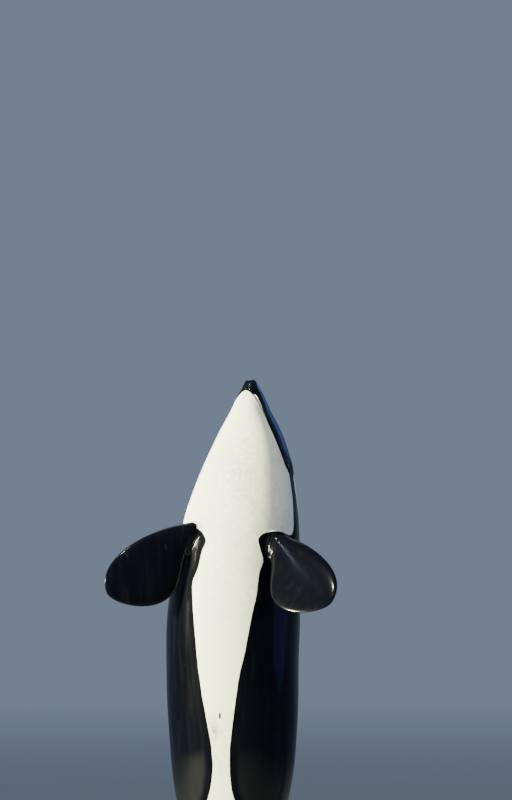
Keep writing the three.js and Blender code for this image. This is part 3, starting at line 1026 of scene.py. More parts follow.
@dataclass(frozen=True)
class Fin:
    """A fin that grows out of the body through a rounded root.

    The skin between opening and foot is marked as a fold over fold_span, which makes it wetter
    and, where the mark is deep, paints shade into it. The wrinkles near the root grow and end over
    the two wrinkle_spans of the distance along the fin, and each of their bends has its size,
    its count round the fin and its rate along it.
    """

    name: str
    form: FinForm
    blade: Blade
    near: float
    at_span: Pair
    angle_span: Pair
    fillet: float
    rings: int
    island: Island
    cap: float = 0.004
    black_from: float = 0.045
    fold: float = 0.0
    fold_span: Pair = (0.3, 1.0)
    fold_reach: float = 0.1
    surface_rings: int = 6
    fillet_rings: int = 14
    crowding: float = 1.5
    crossing_end: float = 0.6
    crossing_steps: int = 160
    speed_step: float = 0.01
    wrinkle: float = 0.0
    wrinkle_length: float = 0.02
    wrinkle_spans: Spans = ((0.004, 0.03), (0.05, 0.12))
    wrinkle_bends: tuple[Triple, ...] = ((1.6, 3, 0), (0.8, 7, 40))

    def along(self, t: Reals, turn: Array) -> Array:
        """Points of the fin in the frame."""
        return self.blade.place(self.form.section(t, turn))

    def crossing(self, body: BodyForm, turn: Array) -> tuple[Array, Array, Array]:
        """Where the fin leaves the body: the first share t outside it, for each turn.

        Args:
            body: The body.
            turn: Angles round the fin's section.

        Returns:
            The shares, and the distances and angles of the crossing on the body.
        """
        t = np.linspace(0, self.crossing_end, self.crossing_steps)
        grown = body.locate(self.along(t[:, None], turn), self.near)[2] - 1
        first = first_crossing(t, grown)
        at, angle, _ = body.locate(self.along(first, turn), self.near)
        return first, at, angle

    def foot(self, body: BodyForm, at: Array, angle: Array) -> tuple[Array, Array]:
        """The crossing's outline moved out along the body by the fillet."""
        radius = body.radius(self.near)
        flat = np.stack([at, angle * radius], -1)
        tangent = unit(np.roll(flat, -1, 0) - np.roll(flat, 1, 0))
        normal = np.stack([tangent[:, 1], -tangent[:, 0]], -1)
        outward = np.sign(dot(normal, flat - flat.mean(0)).sum())
        moved = flat + normal * outward * self.fillet
        return moved[:, 0], moved[:, 1] / radius

    def build(self, builder: SkinBuilder) -> Opening:
        """Adds the fin's stretches to the skin.

        Args:
            builder: The skin in the making.

        Returns:
            The opening that the fin fills.
        """
        skin = builder.skin
        opening = builder.grid.opening(self.at_span, self.angle_span)
        turn = np.arctan2(-np.sin(opening.turn), -np.cos(opening.turn))
        first, cross_at, cross_angle = self.crossing(skin.form, turn)
        cross_angle = wrap(cross_angle, opening.angle.mean())
        foot_at, foot_angle = self.foot(skin.form, cross_at, cross_angle)
        share = shares(self.surface_rings)
        at, angle = between(opening.at, foot_at, share), between(opening.angle, foot_angle, share)
        points, marks = skin.point(at, angle), skin.marks(at, angle)
        marks[Mark.FOLD] = self.fold * ease(share, *self.fold_span)
        blade_points, reach = self.blade_rings(points[-1], turn, first)
        blade_marks = plain_marks(reach.shape, self.fold * bump(reach, self.fold_reach))
        near_at, near_angle, _ = skin.form.locate(blade_points, self.near)
        near_marks = skin.marks(near_at, near_angle)
        for mark in (Mark.WHITE, Mark.SADDLE):
            blade_marks[mark] = np.minimum(near_marks[mark], self.black_from - reach)
        surface = builder.add(points, marks)
        blade = builder.add(blade_points, blade_marks)
        builder.loft(np.vstack([opening.loop, surface, blade]), self.island)
        builder.fan(blade[-1], self.along(1.0, 0.0), Island.square(self.island.high, self.cap))
        log.info("skin: %s", self.name)
        return opening

    def blade_rings(self, foot: Array, turn: Array, first: Array) -> tuple[Array, Array]:
        """Rings from the foot over the fillet and along the blade.

        The fillet is a quadratic Bezier curve from the foot by the crossing to the blade.

        Args:
            foot: Points of the foot.
            turn: Angles round the section.
            first: Share t of the crossing for each turn.

        Returns:
            The points and their distances along the fin from the crossing.
        """
        start = self.along(first, turn)
        step = self.along(first + self.speed_step, turn) - start
        top = first + self.fillet / (np.linalg.norm(step, axis=-1) / self.speed_step)
        share = shares(self.fillet_rings)[..., None]
        near = between(foot, start, share)
        fillet = between(near, between(start, self.along(top, turn), share), share)
        rise = slowing(shares(self.rings)[:-1] ** self.crowding, self.crowding)
        points = np.concatenate([fillet, self.along(between(top, 1, rise), turn)])
        steps = np.linalg.norm(np.diff(points, axis=0, prepend=foot[None]), axis=-1)
        reach = np.cumsum(steps, 0)
        if self.wrinkle:
            points = points + self.wrinkles(points, reach, turn)
        return points, reach

    def wrinkles(self, points: Array, reach: Array, turn: Array) -> Array:
        """Moves along the normals: a sine of the distance along the fin, bent by sines round it."""
        down = np.gradient(points, axis=0)
        around = np.roll(points, -1, 1) - np.roll(points, 1, 1)
        normal = unit(np.cross(down, around))
        outward = np.sign(dot(normal, points - points.mean(1, keepdims=True)).sum())
        bent = sum(size * np.sin(count * turn + rate * reach)
                   for size, count, rate in self.wrinkle_bends)
        wave = np.sin(TURN * reach / self.wrinkle_length + bent)
        grow, fall = self.wrinkle_spans
        strength = ease(reach, *grow) * (1 - ease(reach, *fall))
        return normal * (outward * self.wrinkle * wave * strength)[..., None]


@dataclass(frozen=True)
class Flukes:
    """The flukes as one plate across the tail, with a hole round the middle of its leading edge.

    The body's last ring is drawn out to the rim of that hole. The white under the flukes ends
    black_rim from their edges (black_lead of it at the leading one, and more at the trailing
    one), before the tips by black_tip, and black_middle from the middle, with black_slant more
    at the trailing edge.
    """

    form: FinForm = FinForm(
        leading=((0.008, -0.2), (0.16, -0.125), (0.485, 0.015), (0.53, 0.195)),
        trailing=((0.008, 0.168), (0.11, 0.25), (0.35, 0.215), (0.542, 0.245), (0.53, 0.195)),
        thickness=0.052,
    )
    at: float = 3.83
    sides: int = 96
    open_columns: int = 32
    open_rows: int = 10
    open_share: float = 0.19
    far_rows: int = 36
    crowding: float = 1.5
    neck_rings: int = 30
    neck_leaving: float = 0.75
    neck_landing: float = 0.32
    neck_step: float = 0.01
    black_rim: float = 0.04
    black_lead: float = 0.6
    black_tip: float = 0.05
    black_middle: float = 0.07
    black_slant: float = 0.05
    black_above: float = 0.05
    plate_island: Island = Island((0.0, 0.62), (0.62, 0.78))
    neck_island: Island = Island((0.63, 0.62), (0.99, 0.78))
    cap_places: Spans = ((0.62, 0.8), (0.64, 0.8))
    cap: float = 0.004

    @property
    def middle(self) -> int:
        """The plate's row in the middle of the tail."""
        return self.open_rows + self.far_rows - 1

    def blade(self, skin: BodySkin) -> Blade:
        """Where the flukes stand, with the direction out to the left."""
        left, rear, head = skin.form.directions(self.at)
        return Blade(skin.form.axis(self.at), left, -head, -rear)

    def plate(self, skin: BodySkin) -> tuple[Array, Array]:
        """Points of the plate, rows from the right tip to the left tip, and their white marks.

        Args:
            skin: The body's skin, for the place and directions.

        Returns:
            The points and how far inside the white field under the flukes each lies.
        """
        number = np.arange(-self.middle, self.middle + 1)[:, None]
        step = np.abs(number)
        near = self.open_share * np.maximum(step - 1, 0) / (self.open_rows - 1)
        beyond = slowing(np.maximum(step - self.open_rows, 0) / self.far_rows, self.crowding)
        t = np.where(step <= self.open_rows, near, between(self.open_share, 1, beyond))
        turn = circle(self.sides)
        out, along, through = np.moveaxis(self.form.section(t, turn), -1, 0)
        out = np.where(step == 0, 0.0, out)
        points = self.blade(skin).place(np.stack([np.sign(number) * out, along, through], -1))
        return points, self.under(t, turn, out)

    def under(self, t: Array, turn: Array, out: Array) -> Array:
        """How far inside the white field under the flukes each place of the plate lies."""
        chord = (1 - np.cos(turn)) / 2
        across = bezier(self.form.trailing, t) - bezier(self.form.leading, t)
        width = np.linalg.norm(across, axis=-1)
        edge = np.minimum(chord, 1 - chord) * width - self.black_rim * (self.black_lead + chord)
        tip = (1 - t) / 2 - self.black_tip
        middle = out - self.black_middle - self.black_slant * chord
        white = np.minimum(np.minimum(edge, tip), middle)
        return np.where(np.sin(turn) > 0, white, -self.black_above)

    def rim(self, plate: Array) -> tuple[Array, Array, tuple[Array, Array]]:
        """The hole's rim, in the order of the body's columns, from the middle of the belly.

        Args:
            plate: The plate's points.

        Returns:
            The rim's points, the directions out from the hole, and the rim's rows and columns.
        """
        rows, columns = self.open_rows, self.open_columns
        side, back, whole = np.arange(rows), np.arange(-columns, columns), np.arange(-rows, rows)
        row = np.concatenate([side, 0 * back + rows, -whole, 0 * back - rows, side - rows])
        column = np.concatenate(
            [0 * side + columns, -back, 0 * whole - columns, back, 0 * side + columns])
        places = self.middle + row, np.mod(column, self.sides)
        next_row = np.where(np.abs(row) == rows, row + np.sign(row), row)
        next_column = np.where(np.abs(column) == columns, column + np.sign(column), column)
        beyond = plate[self.middle + next_row, np.mod(next_column, self.sides)]
        return plate[places], unit(beyond - plate[places]), places

    def build(self, builder: SkinBuilder, last_ring: Array) -> None:
        """Adds the neck of the tail and the flukes to the skin.

        The neck is a cubic Hermite curve for each column, tailward off the body and outward
        along the plate.

        Args:
            builder: The skin in the making.
            last_ring: Vertex numbers of the body's last ring.
        """
        skin, last_at, angles = builder.skin, builder.grid.at[-1], builder.grid.angles[-1]
        points, white = self.plate(skin)
        ring, outward, rim = self.rim(points)
        start = skin.point(last_at + 0 * angles, angles)
        tailward = unit(skin.point(last_at + self.neck_step + 0 * angles, angles) - start)
        length = np.linalg.norm(ring - start, axis=-1, keepdims=True)
        s = shares(self.neck_rings)[:-1, :, None]
        leaving = (s**3 - 2 * s**2 + s) * tailward * length * self.neck_leaving
        landing = (s**3 - s**2) * outward * length * self.neck_landing
        neck = (2 * s**3 - 3 * s**2 + 1) * start + leaving + (3 * s**2 - 2 * s**3) * ring + landing
        marks = plain_marks(white.shape)
        marks[Mark.WHITE] = np.clip(white, -FAR, FAR)
        plate = builder.add(points, marks)
        neck_rings = builder.add(neck, plain_marks(neck.shape[:-1]))
        builder.loft(np.vstack([last_ring, neck_rings, plate[rim]]), self.neck_island)
        keep = np.ones((len(plate) - 1, self.sides), bool)
        columns = np.mod(np.arange(-self.open_columns, self.open_columns), self.sides)
        keep[self.middle - self.open_rows:self.middle + self.open_rows, columns] = False
        builder.loft(plate, self.plate_island, keep)
        out, along = bezier(self.form.leading, 1.0)
        for side, end, low in zip((-1, 1), (plate[0], plate[-1]), self.cap_places):
            tip = self.blade(skin).place(np.array([side * out, along, 0.0]))
            builder.fan(end, tip, Island.square(low, self.cap))
        log.info("skin: flukes")


@dataclass(frozen=True)
class Slit:
    """A slit or pit in the skin between two soft lips.

    Its outline is an ellipse that is bowed towards the snout at its ends, if it lies across
    the body. At its bottom it is shorter by one share and narrower by another.
    """

    name: str
    at: float
    angle: float
    length: float
    width: float
    depth: float
    lip: float
    across: bool
    margin: Pair
    island: Island
    bow: float = 0.0
    shorter: float = 0.12
    narrower: float = 0.94
    bulge: float = 0.6
    crowding: float = 1.5
    fold: float = 0.8
    fold_span: Pair = (0.85, 1.0)
    surface_rings: int = 9
    inner_rings: int = 5
    cap: float = 0.003

    def outline(self, skin: BodySkin, turn: Array, sunk: Reals) -> tuple[Array, Array]:
        """Distances and angles of the slit's outline at a share of the way to its bottom."""
        half = self.length / 2 * (1 - self.shorter * sunk)
        thin = self.width / 2 * (1 - self.narrower * sunk)
        if self.across:
            across = half * np.sin(turn)
            along = thin * np.cos(turn) - self.bow * (across / half) ** 2
        else:
            along, across = half * np.cos(turn), thin * np.sin(turn)
        return self.at + along, self.angle + across / skin.form.radius(self.at)

    def build(self, builder: SkinBuilder) -> Opening:
        """Adds the slit to the skin.

        Args:
            builder: The skin in the making.

        Returns:
            The opening that the slit fills.
        """
        skin, (long, wide) = builder.skin, self.margin
        reach = wide / skin.form.radius(self.at)
        opening = builder.grid.opening(
            (self.at - long, self.at + long), (self.angle - reach, self.angle + reach))
        turn = opening.turn
        share = slowing(shares(self.surface_rings), self.crowding)
        rim_at, rim_angle = self.outline(skin, turn, 0.0)
        at, angle = between(opening.at, rim_at, share), between(opening.angle, rim_angle, share)
        rise = self.lip * share**2 * (1 + self.bulge - self.bulge * share)
        marks = skin.marks(at, angle)
        marks[Mark.FOLD] = self.fold * ease(share, *self.fold_span)
        lips = builder.add(skin.point(at, angle, rise), marks)
        sunk = shares(self.inner_rings)
        at, angle = self.outline(skin, turn, sunk)
        rise = self.lip - (self.lip + self.depth) * ease(sunk, 0, 1)
        marks = skin.marks(at, angle)
        # Deeper in, the slit is marked as a deepening fold, which paints shade into it.
        marks[Mark.FOLD] = self.fold + (1 - self.fold) * sunk
        inner = builder.add(skin.point(at, angle, rise), marks)
        builder.loft(np.vstack([opening.loop, lips, inner]), self.island)
        start = np.abs(wrap(turn - np.pi / 2 * self.across)).argmin()
        builder.zip_shut(inner[-1], int(start), Island.square(self.island.high, self.cap))
        log.info("skin: %s", self.name)
        return opening


class Side(Enum):
    """A side of the animal, by the sign of the angles on it."""

    LEFT = 1
    RIGHT = -1

    @property
    def label(self) -> str:
        """The side's part in the names of pieces and nodes."""
        return self.name.lower()


class LidFold(NamedTuple):
    """A ridge of the lids, or a furrow where its height is below 0: a bell across its place.

    The height has a part all round the eye and a part that shows only above it. The place is
    the distance from the opening's edge.
    """

    height: float
    above: float
    place: float
    width: float


@dataclass(frozen=True)
class Eye:
    """An eye: the lids as part of the skin, the pocket behind them, and the eyeball.

    The ball has the size and place of the solid. The lids leave an almond open over it, which
    is open_long and open_high to each side of its middle, and they turn in at their edge. Each
    pair of tucks is an angle over the edge and how far from the pocket the skin is there. The
    furrow's shadow has its strength, its distance from the opening's edge and its width.
    """

    side: Side
    island: Island
    at: float = 0.486
    angle: float = 88 * DEGREE
    radius: float = 0.027
    set_back: float = 0.02
    margin: Pair = (0.044, 0.047)
    step: float = 0.004
    open_long: float = 0.0215
    open_high: float = 0.0105
    roundness: float = 1.2
    tilt: float = -0.12
    clearance: float = 0.0005
    lid_rings: int = 18
    lid_crowding: float = 1.7
    lid_over: float = 0.0016
    lid_lowest: float = -0.0035
    lid_width: float = 0.015
    lid_folds: tuple[LidFold, ...] = (
        LidFold(0.0016, 0, 0.0055, 0.0026),
        LidFold(-0.0008, -0.0016, 0.0115, 0.0032),
        LidFold(0, 0.0012, 0.019, 0.005),
    )
    lid_calm: Pair = (0.75, 1.0)
    edge_shadow: float = 0.0028
    furrow_shadow: Triple = (0.55, 0.0115, 0.003)
    pocket_rings: int = 8
    pocket_crowding: float = 1.2
    tucks: tuple[Pair, ...] = ((-0.05, 0.0009), (-0.02, 0.0002))
    cap: float = 0.003
    ball_rows: int = 48
    ball_columns: int = 64
    iris_swell: float = 0.0009
    iris_span: Pair = (0.15, 0.5)

    def centre(self, skin: BodySkin) -> tuple[Array, Array, Array, Array]:
        """The ball's centre and the directions outward, tailward and towards the back."""
        form, angle = skin.form, self.side.value * self.angle
        normal = form.normal(self.at, angle)
        ahead = form.surface(self.at + self.step, angle) - form.surface(self.at - self.step, angle)
        tailward = unit(ahead - normal * dot(ahead, normal))
        backward = self.side.value * np.cross(normal, tailward)
        return form.surface(self.at, angle) - normal * self.set_back, normal, tailward, backward

    def lift(self, gap: Array, x: Array, y: Array, turn: Array) -> Array:
        """Rise of the lids at gaps from their edge at x and y: over the ball, then in folds."""
        flat = np.sqrt(np.maximum(self.radius**2 - x * x - y * y, 0)) - self.set_back
        above = 0.5 + 0.5 * np.sin(turn)
        lift = (np.maximum(flat, self.lid_lowest) + self.lid_over) * bump(gap, self.lid_width)
        for fold in self.lid_folds:
            lift += (fold.height + fold.above * above) * bump(gap - fold.place, fold.width)
        return lift * (1 - ease(gap / gap[0], *self.lid_calm))

    def build_lids(self, builder: SkinBuilder) -> Opening:
        """Adds lids and pocket to the skin.

        Args:
            builder: The skin in the making.

        Returns:
            The opening that the eye fills.
        """
        skin, (long, wide) = builder.skin, self.margin
        form, middle = skin.form, self.side.value * self.angle
        reach = wide / form.radius(self.at)
        opening = builder.grid.opening(
            (self.at - long, self.at + long), (middle - reach, middle + reach))
        centre, normal, tailward, backward = self.centre(skin)
        turn = opening.turn * self.side.value
        x = self.open_long * np.cos(turn)
        y = self.open_high * signed_power(np.sin(turn), self.roundness) + self.tilt * x
        tangent = x[:, None] * tailward + y[:, None] * backward
        edge_at, edge_angle, _ = form.locate(centre + normal * self.set_back + tangent, self.at)
        share = slowing(shares(self.lid_rings), self.lid_crowding)
        at = between(opening.at, edge_at, share)
        angle = between(wrap(opening.angle, middle), wrap(edge_angle, middle), share)
        plain = form.surface(at, angle)
        gap = np.linalg.norm(plain - plain[-1], axis=-1)
        lids = skin.point(at, angle, self.lift(gap, x, y, turn))
        marks = skin.marks(at, angle)
        dark, place, width = self.furrow_shadow
        marks[Mark.FOLD] = np.maximum(bump(gap, self.edge_shadow), dark * bump(gap - place, width))
        outer = builder.add(lids, marks)
        pocket = self.pocket(lids[-1] - centre, normal)
        # The pocket is marked as a deep fold, which paints shade into it.
        inner = builder.add(centre + pocket, plain_marks(pocket.shape[:-1], 1.0))
        builder.loft(np.vstack([opening.loop, outer, inner]), self.island)
        pole = centre - normal * (self.radius + self.clearance)
        builder.fan(inner[-1], pole, Island.square(self.island.high, self.cap), fold=1.0)
        log.info("skin: eyelids_%s", self.side.label)
        return opening

    def pocket(self, edge: Array, normal: Array) -> Array:
        """Rings of a sphere round the ball's centre, from the lids' edge to the back."""
        tip = np.arccos(np.clip(dot(unit(edge), normal), -1, 1))
        sideways = unit(edge - normal * dot(edge, normal)[:, None])
        tucks = np.array(self.tucks)
        back = np.linspace(0, 1, self.pocket_rings)[:-1, None] ** self.pocket_crowding
        lean = np.vstack([tip + tucks[:, :1], between(tip, np.pi, back)])[..., None]
        radius = self.radius + self.clearance + np.concatenate([tucks[:, 1], np.zeros(len(back))])
        return (normal * np.cos(lean) + sideways * np.sin(lean)) * radius[:, None, None]

    def build_ball(self, skin: BodySkin, finish: Material) -> None:
        """The eyeball: a sphere that swells over the iris, with the tilt from its pole as a mark.

        Args:
            skin: The body's skin.
            finish: Its material.
        """
        centre, normal, *across = self.centre(skin)
        tilt = np.linspace(0, np.pi, self.ball_rows)[1:-1, None]
        turn = circle(self.ball_columns)
        radius = self.radius + self.iris_swell * (1 - ease(tilt, *self.iris_span))
        parts = (np.cos(tilt), np.sin(tilt) * np.cos(turn), np.sin(tilt) * np.sin(turn))
        points = centre + sum(
            (radius * part)[..., None] * axis for part, axis in zip(parts, (normal, *across)))
        front, back = self.radius + self.iris_swell, self.radius
        poles = np.stack([centre + normal * front, centre - normal * back])
        ball = closed_rings(f"eyeball_{self.side.label}", points, poles)
        tilts = np.repeat(tilt.ravel(), self.ball_columns)
        carry(ball, "gaze", np.concatenate([tilts, [0, np.pi]]))
        dress(ball, finish, "eye", f"eye_{self.side.label}")


class Shade:
    """A socket of a shader, whose operators add Math nodes."""

    def __init__(self, finish: "NodeFinish", socket: bpy.types.NodeSocket) -> None:
        """Wraps an output socket."""
        self.finish = finish
        self.socket = socket

    def __add__(self, other: "Shade | float") -> "Shade":
        """Sum."""
        return self.finish.maths("ADD", self, other)

    __radd__ = __add__

    def __sub__(self, other: "Shade | float") -> "Shade":
        """Difference."""
        return self.finish.maths("SUBTRACT", self, other)

    def __rsub__(self, other: float) -> "Shade":
        """Difference from a number."""
        return self.finish.maths("SUBTRACT", other, self)

    def __mul__(self, other: "Shade | float") -> "Shade":
        """Product."""
        return self.finish.maths("MULTIPLY", self, other)

    __rmul__ = __mul__

    def __neg__(self) -> "Shade":
        """The value with its sign changed."""
        return self * -1.0


Input = Shade | float | tuple[float, ...]


class NodeFinish:
    """A material in the making: its nodes, and the few kinds of pattern that the finishes use."""

    def __init__(self, name: str) -> None:
        """Starts a material with a bare shader and its output."""
        self.material = bpy.data.materials.new(name)
        self.material.use_nodes = True
        self.tree = self.material.node_tree
        self.tree.nodes.clear()
        self.shader = self.tree.nodes.new("ShaderNodeBsdfPrincipled")
        output = self.tree.nodes.new("ShaderNodeOutputMaterial")
        self.tree.links.new(self.shader.outputs["BSDF"], output.inputs["Surface"])

    def feed(self, socket: bpy.types.NodeSocket, value: Input) -> None:
        """Links a shade to a socket, or sets the socket to numbers."""
        if isinstance(value, Shade):
            self.tree.links.new(value.socket, socket)
        elif isinstance(value, tuple) and socket.type == "RGBA":
            socket.default_value = (*value, 1.0)
        else:
            socket.default_value = value

    def node(self, kind: str, settings: dict[str, str], inputs: dict[str | int, Input],
             output: str | None = None) -> Shade:
        """Adds any node.

        Args:
            kind: The node's type, without its common first part.
            settings: Its properties, which decide which of its sockets are live.
            inputs: Numbers, colours or shades for its live sockets, by name or by index.
            output: Name of the output wanted, the first live one if left out.

        Returns:
            The output.
        """
        node = self.tree.nodes.new(f"ShaderNode{kind}")
        for name, value in settings.items():
            setattr(node, name, value)
        live = [socket for socket in node.inputs if socket.enabled]
        for key, value in inputs.items():
            self.feed(next(s for i, s in enumerate(live) if key in (i, s.name)), value)
        outputs = (s for s in node.outputs if s.enabled and output in (None, s.name))
        return Shade(self, next(outputs))

    def maths(self, operation: str, *values: Input) -> Shade:
        """A Math node with an operation on one to three values."""
        return self.node("Math", {"operation": operation}, dict(enumerate(values)))

    def place(self) -> Shade:
        """Places in metres in the frame."""
        return self.node("TexCoord", {}, {}, "Object")

    def mark(self, name: str) -> Shade:
        """A value that the mesh carries."""
        settings = {"attribute_type": "GEOMETRY", "attribute_name": name}
        return self.node("Attribute", settings, {}, "Fac")

    def stretched(self, *scale: float) -> Shade:
        """Places with each axis scaled."""
        return self.node("VectorMath", {"operation": "MULTIPLY"}, {0: self.place(), 1: scale})

    def noise(self, scale: float, detail: float = 3.0, places: Shade | None = None,
              distortion: float = 0.0) -> Shade:
        """Smooth noise from 0 to 1 about 0.5, with a scale in swells a metre."""
        inputs = {"Vector": places or self.place(), "Scale": scale, "Detail": detail,
                  "Distortion": distortion}
        return self.node("TexNoise", {}, inputs, "Fac")

    def rough(self, size: float, scale: float, detail: float) -> Shade:
        """Smooth noise about 0, its size from its lowest to its highest value."""
        return (self.noise(scale, detail) - 0.5) * size

    def step(self, value: Shade, start: float, end: float) -> Shade:
        """Smooth step of a value from 0 at start to 1 at end."""
        inputs = {"Value": value, "From Min": start, "From Max": end}
        return self.node("MapRange", {"interpolation_type": "SMOOTHSTEP"}, inputs)

    def band(self, value: Shade, rise: Pair, fall: Pair) -> Shade:
        """1 where a value lies after its rise and before its fall, 0 elsewhere."""
        return self.step(value, *rise) * (1 - self.step(value, *fall))

    def mix(self, share: Input, first: Input, second: Input) -> Shade:
        """Blend of two colours."""
        inputs = {"Factor": share, "A": first, "B": second}
        return self.node("Mix", {"data_type": "RGBA"}, inputs)

    def bumped(self, height: Shade) -> Shade:
        """Normals of a surface that rises by a height in metres."""
        return self.node("Bump", {}, {"Height": height, "Strength": 1.0, "Distance": 1.0})

    def finish(self, inputs: dict[str, Input]) -> Material:
        """Sets the shader's sockets and returns the material."""
        for name, value in inputs.items():
            self.feed(self.shader.inputs[name], value)
        return self.material


@dataclass(frozen=True)
class SkinFinish:
    """Wet orca skin: blue-black, its blue partly painted sky reflection, and cream white, with a
    grey saddle and pale lips.

    Spans are in metres: of the distance from a border or from the mouth's line, or of the
    height in the frame where their names say so.
    """

    # Blue-black, the blue partly the skin's own tone and partly painted sky reflection, as is the
    # worn black's.
    black: Triple = (0.0010, 0.0013, 0.0036)
    worn_black: Triple = (0.0032, 0.0036, 0.0058)
    scratch: Triple = (0.03, 0.031, 0.034)
    white: Triple = (0.87, 0.89, 0.74)
    cool_white: Triple = (0.66, 0.67, 0.63)
    # The grey of the patches: a real smudge by the navel, and painted shade on the throat and
    # beside the left flipper's root.
    smudge: Triple = (0.22, 0.21, 0.22)
    saddle: Triple = (0.085, 0.09, 0.10)
    lip: Triple = (0.75, 0.58, 0.47)
    # Painted shade: this colour darkens the skin where the fold mark is deep, in slits, at the
    # lids' edge and in the eye pockets.
    fold: Triple = (0.004, 0.0035, 0.004)
    # Painted shade along the line between the jaws.
    groove: Triple = (0.06, 0.045, 0.045)
    border: Pair = (0.0, 0.0025)
    saddle_border: Pair = (-0.012, 0.022)
    upper_lip: Spans = ((0.0012, 0.0035), (0.0065, 0.0095))
    lower_lip: Spans = ((0.001, 0.003), (0.004, 0.009))
    lower_lip_share: float = 0.6
    lip_heights: Spans = ((4.016, 4.03), (4.09, 4.106))
    lip_strength: float = 0.85
    # Spans of the painted shade along the mouth's line: across it and in height.
    groove_shade: Pair = (0.0008, 0.0026)
    groove_shade_height: Pair = (3.74, 3.78)
    groove_shade_strength: float = 0.75
    fold_shade_strength: float = 0.85
    dry_border: Pair = (0.024, 0.06)
    dry_height: Pair = (3.2, 3.4)
    wet_height: Pair = (4.10, 4.15)
    crinkle: float = 0.0011
    coat: float = 0.24
    wet_coat: float = 0.8
    white_coat: float = 0.02
    coat_roughness: float = 0.12
    specular: float = 0.02

    def dark(self, nodes: NodeFinish) -> Shade:
        """The black, with worn streaks, the grey saddle and faint scratches."""
        streak = nodes.noise(1.0, 4.0, nodes.stretched(26.0, 26.0, 2.2), 0.6)
        dark = nodes.mix(nodes.step(streak, 0.48, 0.78), self.black, self.worn_black)
        grey = nodes.mark(Mark.SADDLE.value) + nodes.rough(0.07, 9.0, 5.0)
        dark = nodes.mix(nodes.step(grey, *self.saddle_border), dark, self.saddle)
        scratch = nodes.noise(1.0, 2.0, nodes.stretched(7.0, 90.0, 9.0), 0.4)
        patches = nodes.step(nodes.noise(1.4, 2.0), 0.5, 0.6)
        return nodes.mix(nodes.step(scratch, 0.715, 0.745) * patches * 0.35, dark, self.scratch)

    def light(self, nodes: NodeFinish) -> Shade:
        """The white, with faint clouds and the grey patches: a real smudge and painted shade."""
        cloud = nodes.noise(2.3, 5.0, nodes.stretched(1.0, 1.0, 0.45))
        pale = nodes.step(cloud * 0.7 + nodes.noise(38.0, 3.0) * 0.3, 0.42, 0.66)
        # The grey patches, painted shade among them, broken up by noise.
        stain_and_shade = nodes.mark(Mark.SMUDGE.value) * nodes.step(nodes.noise(45.0, 4.0), 0.3, 0.6)
        return nodes.mix(stain_and_shade, nodes.mix(pale, self.white, self.cool_white), self.smudge)

    def mouth(self, nodes: NodeFinish, colour: Shade, share: Shade, height: Shade) -> Shade:
        """A colour with the pale lips in front and painted shade along the line between the jaws.
        """
        gap = nodes.mark(Mark.LIP.value)
        lips = nodes.band(gap, *self.upper_lip)
        lips += nodes.band(-gap, *self.lower_lip) * self.lower_lip_share
        front = nodes.band(height + nodes.rough(0.02, 40.0, 2.0), *self.lip_heights)
        colour = nodes.mix(lips * front * share * self.lip_strength, colour, self.lip)
        # Painted shade in the line between the jaws, on the white only.
        groove_shade = 1 - nodes.step(nodes.maths("ABSOLUTE", gap), *self.groove_shade)
        groove_shade *= nodes.step(height, *self.groove_shade_height) * share * self.groove_shade_strength
        return nodes.mix(groove_shade, colour, self.groove)

    def make(self) -> Material:
        """The material of the skin.

        Its coat is thick in folds and on the snout, thin elsewhere, and fades out on the black
        beside the white, in folds and below the head.
        """
        nodes = NodeFinish("wet_skin")
        white, fold = nodes.mark(Mark.WHITE.value), nodes.mark(Mark.FOLD.value)
        height = nodes.node("SeparateXYZ", {}, {"Vector": nodes.place()}, "Z")
        ragged = nodes.rough(0.006, 14.0, 4.0) + nodes.rough(0.003, 90.0, 2.0)
        share = nodes.step(white + ragged, *self.border)
        colour = nodes.mix(share, self.dark(nodes), self.light(nodes))
        colour = self.mouth(nodes, colour, share, height)
        # Painted shade where the fold mark is deep.
        colour = nodes.mix(nodes.step(fold, 0.75, 0.95) * self.fold_shade_strength, colour, self.fold)
        low = 1 - nodes.step(height, *self.dry_height)
        cove = nodes.maths("MAXIMUM", nodes.step(fold, 0.2, 0.5), low)
        dry = cove * (1 - share) * (1 - nodes.step(-white, *self.dry_border))
        soaked = nodes.maths("MAXIMUM", fold, nodes.step(height, *self.wet_height))
        wet = self.coat + soaked * (self.wet_coat - self.coat)
        grain = nodes.rough(0.00006, 420.0, 2.0) + nodes.rough(0.00022, 45.0, 2.0)
        crinkle = nodes.noise(48.0, 3.0, nodes.stretched(1.0, 1.0, 0.6), 0.8)
        folds = nodes.step(crinkle, 0.3, 0.7) * fold * (1 - share) * self.crinkle
        return nodes.finish({
            "Base Color": colour,
            "Roughness": 0.3 + share * 0.2 + dry * 0.35 + nodes.rough(0.14, 26.0, 3.0),
            "Specular IOR Level": self.specular,
            "Coat Weight": wet * (1 - dry) * (1 - share) + share * self.white_coat,
            "Coat Roughness": self.coat_roughness,
            "Normal": nodes.bumped(grain + folds),
        })


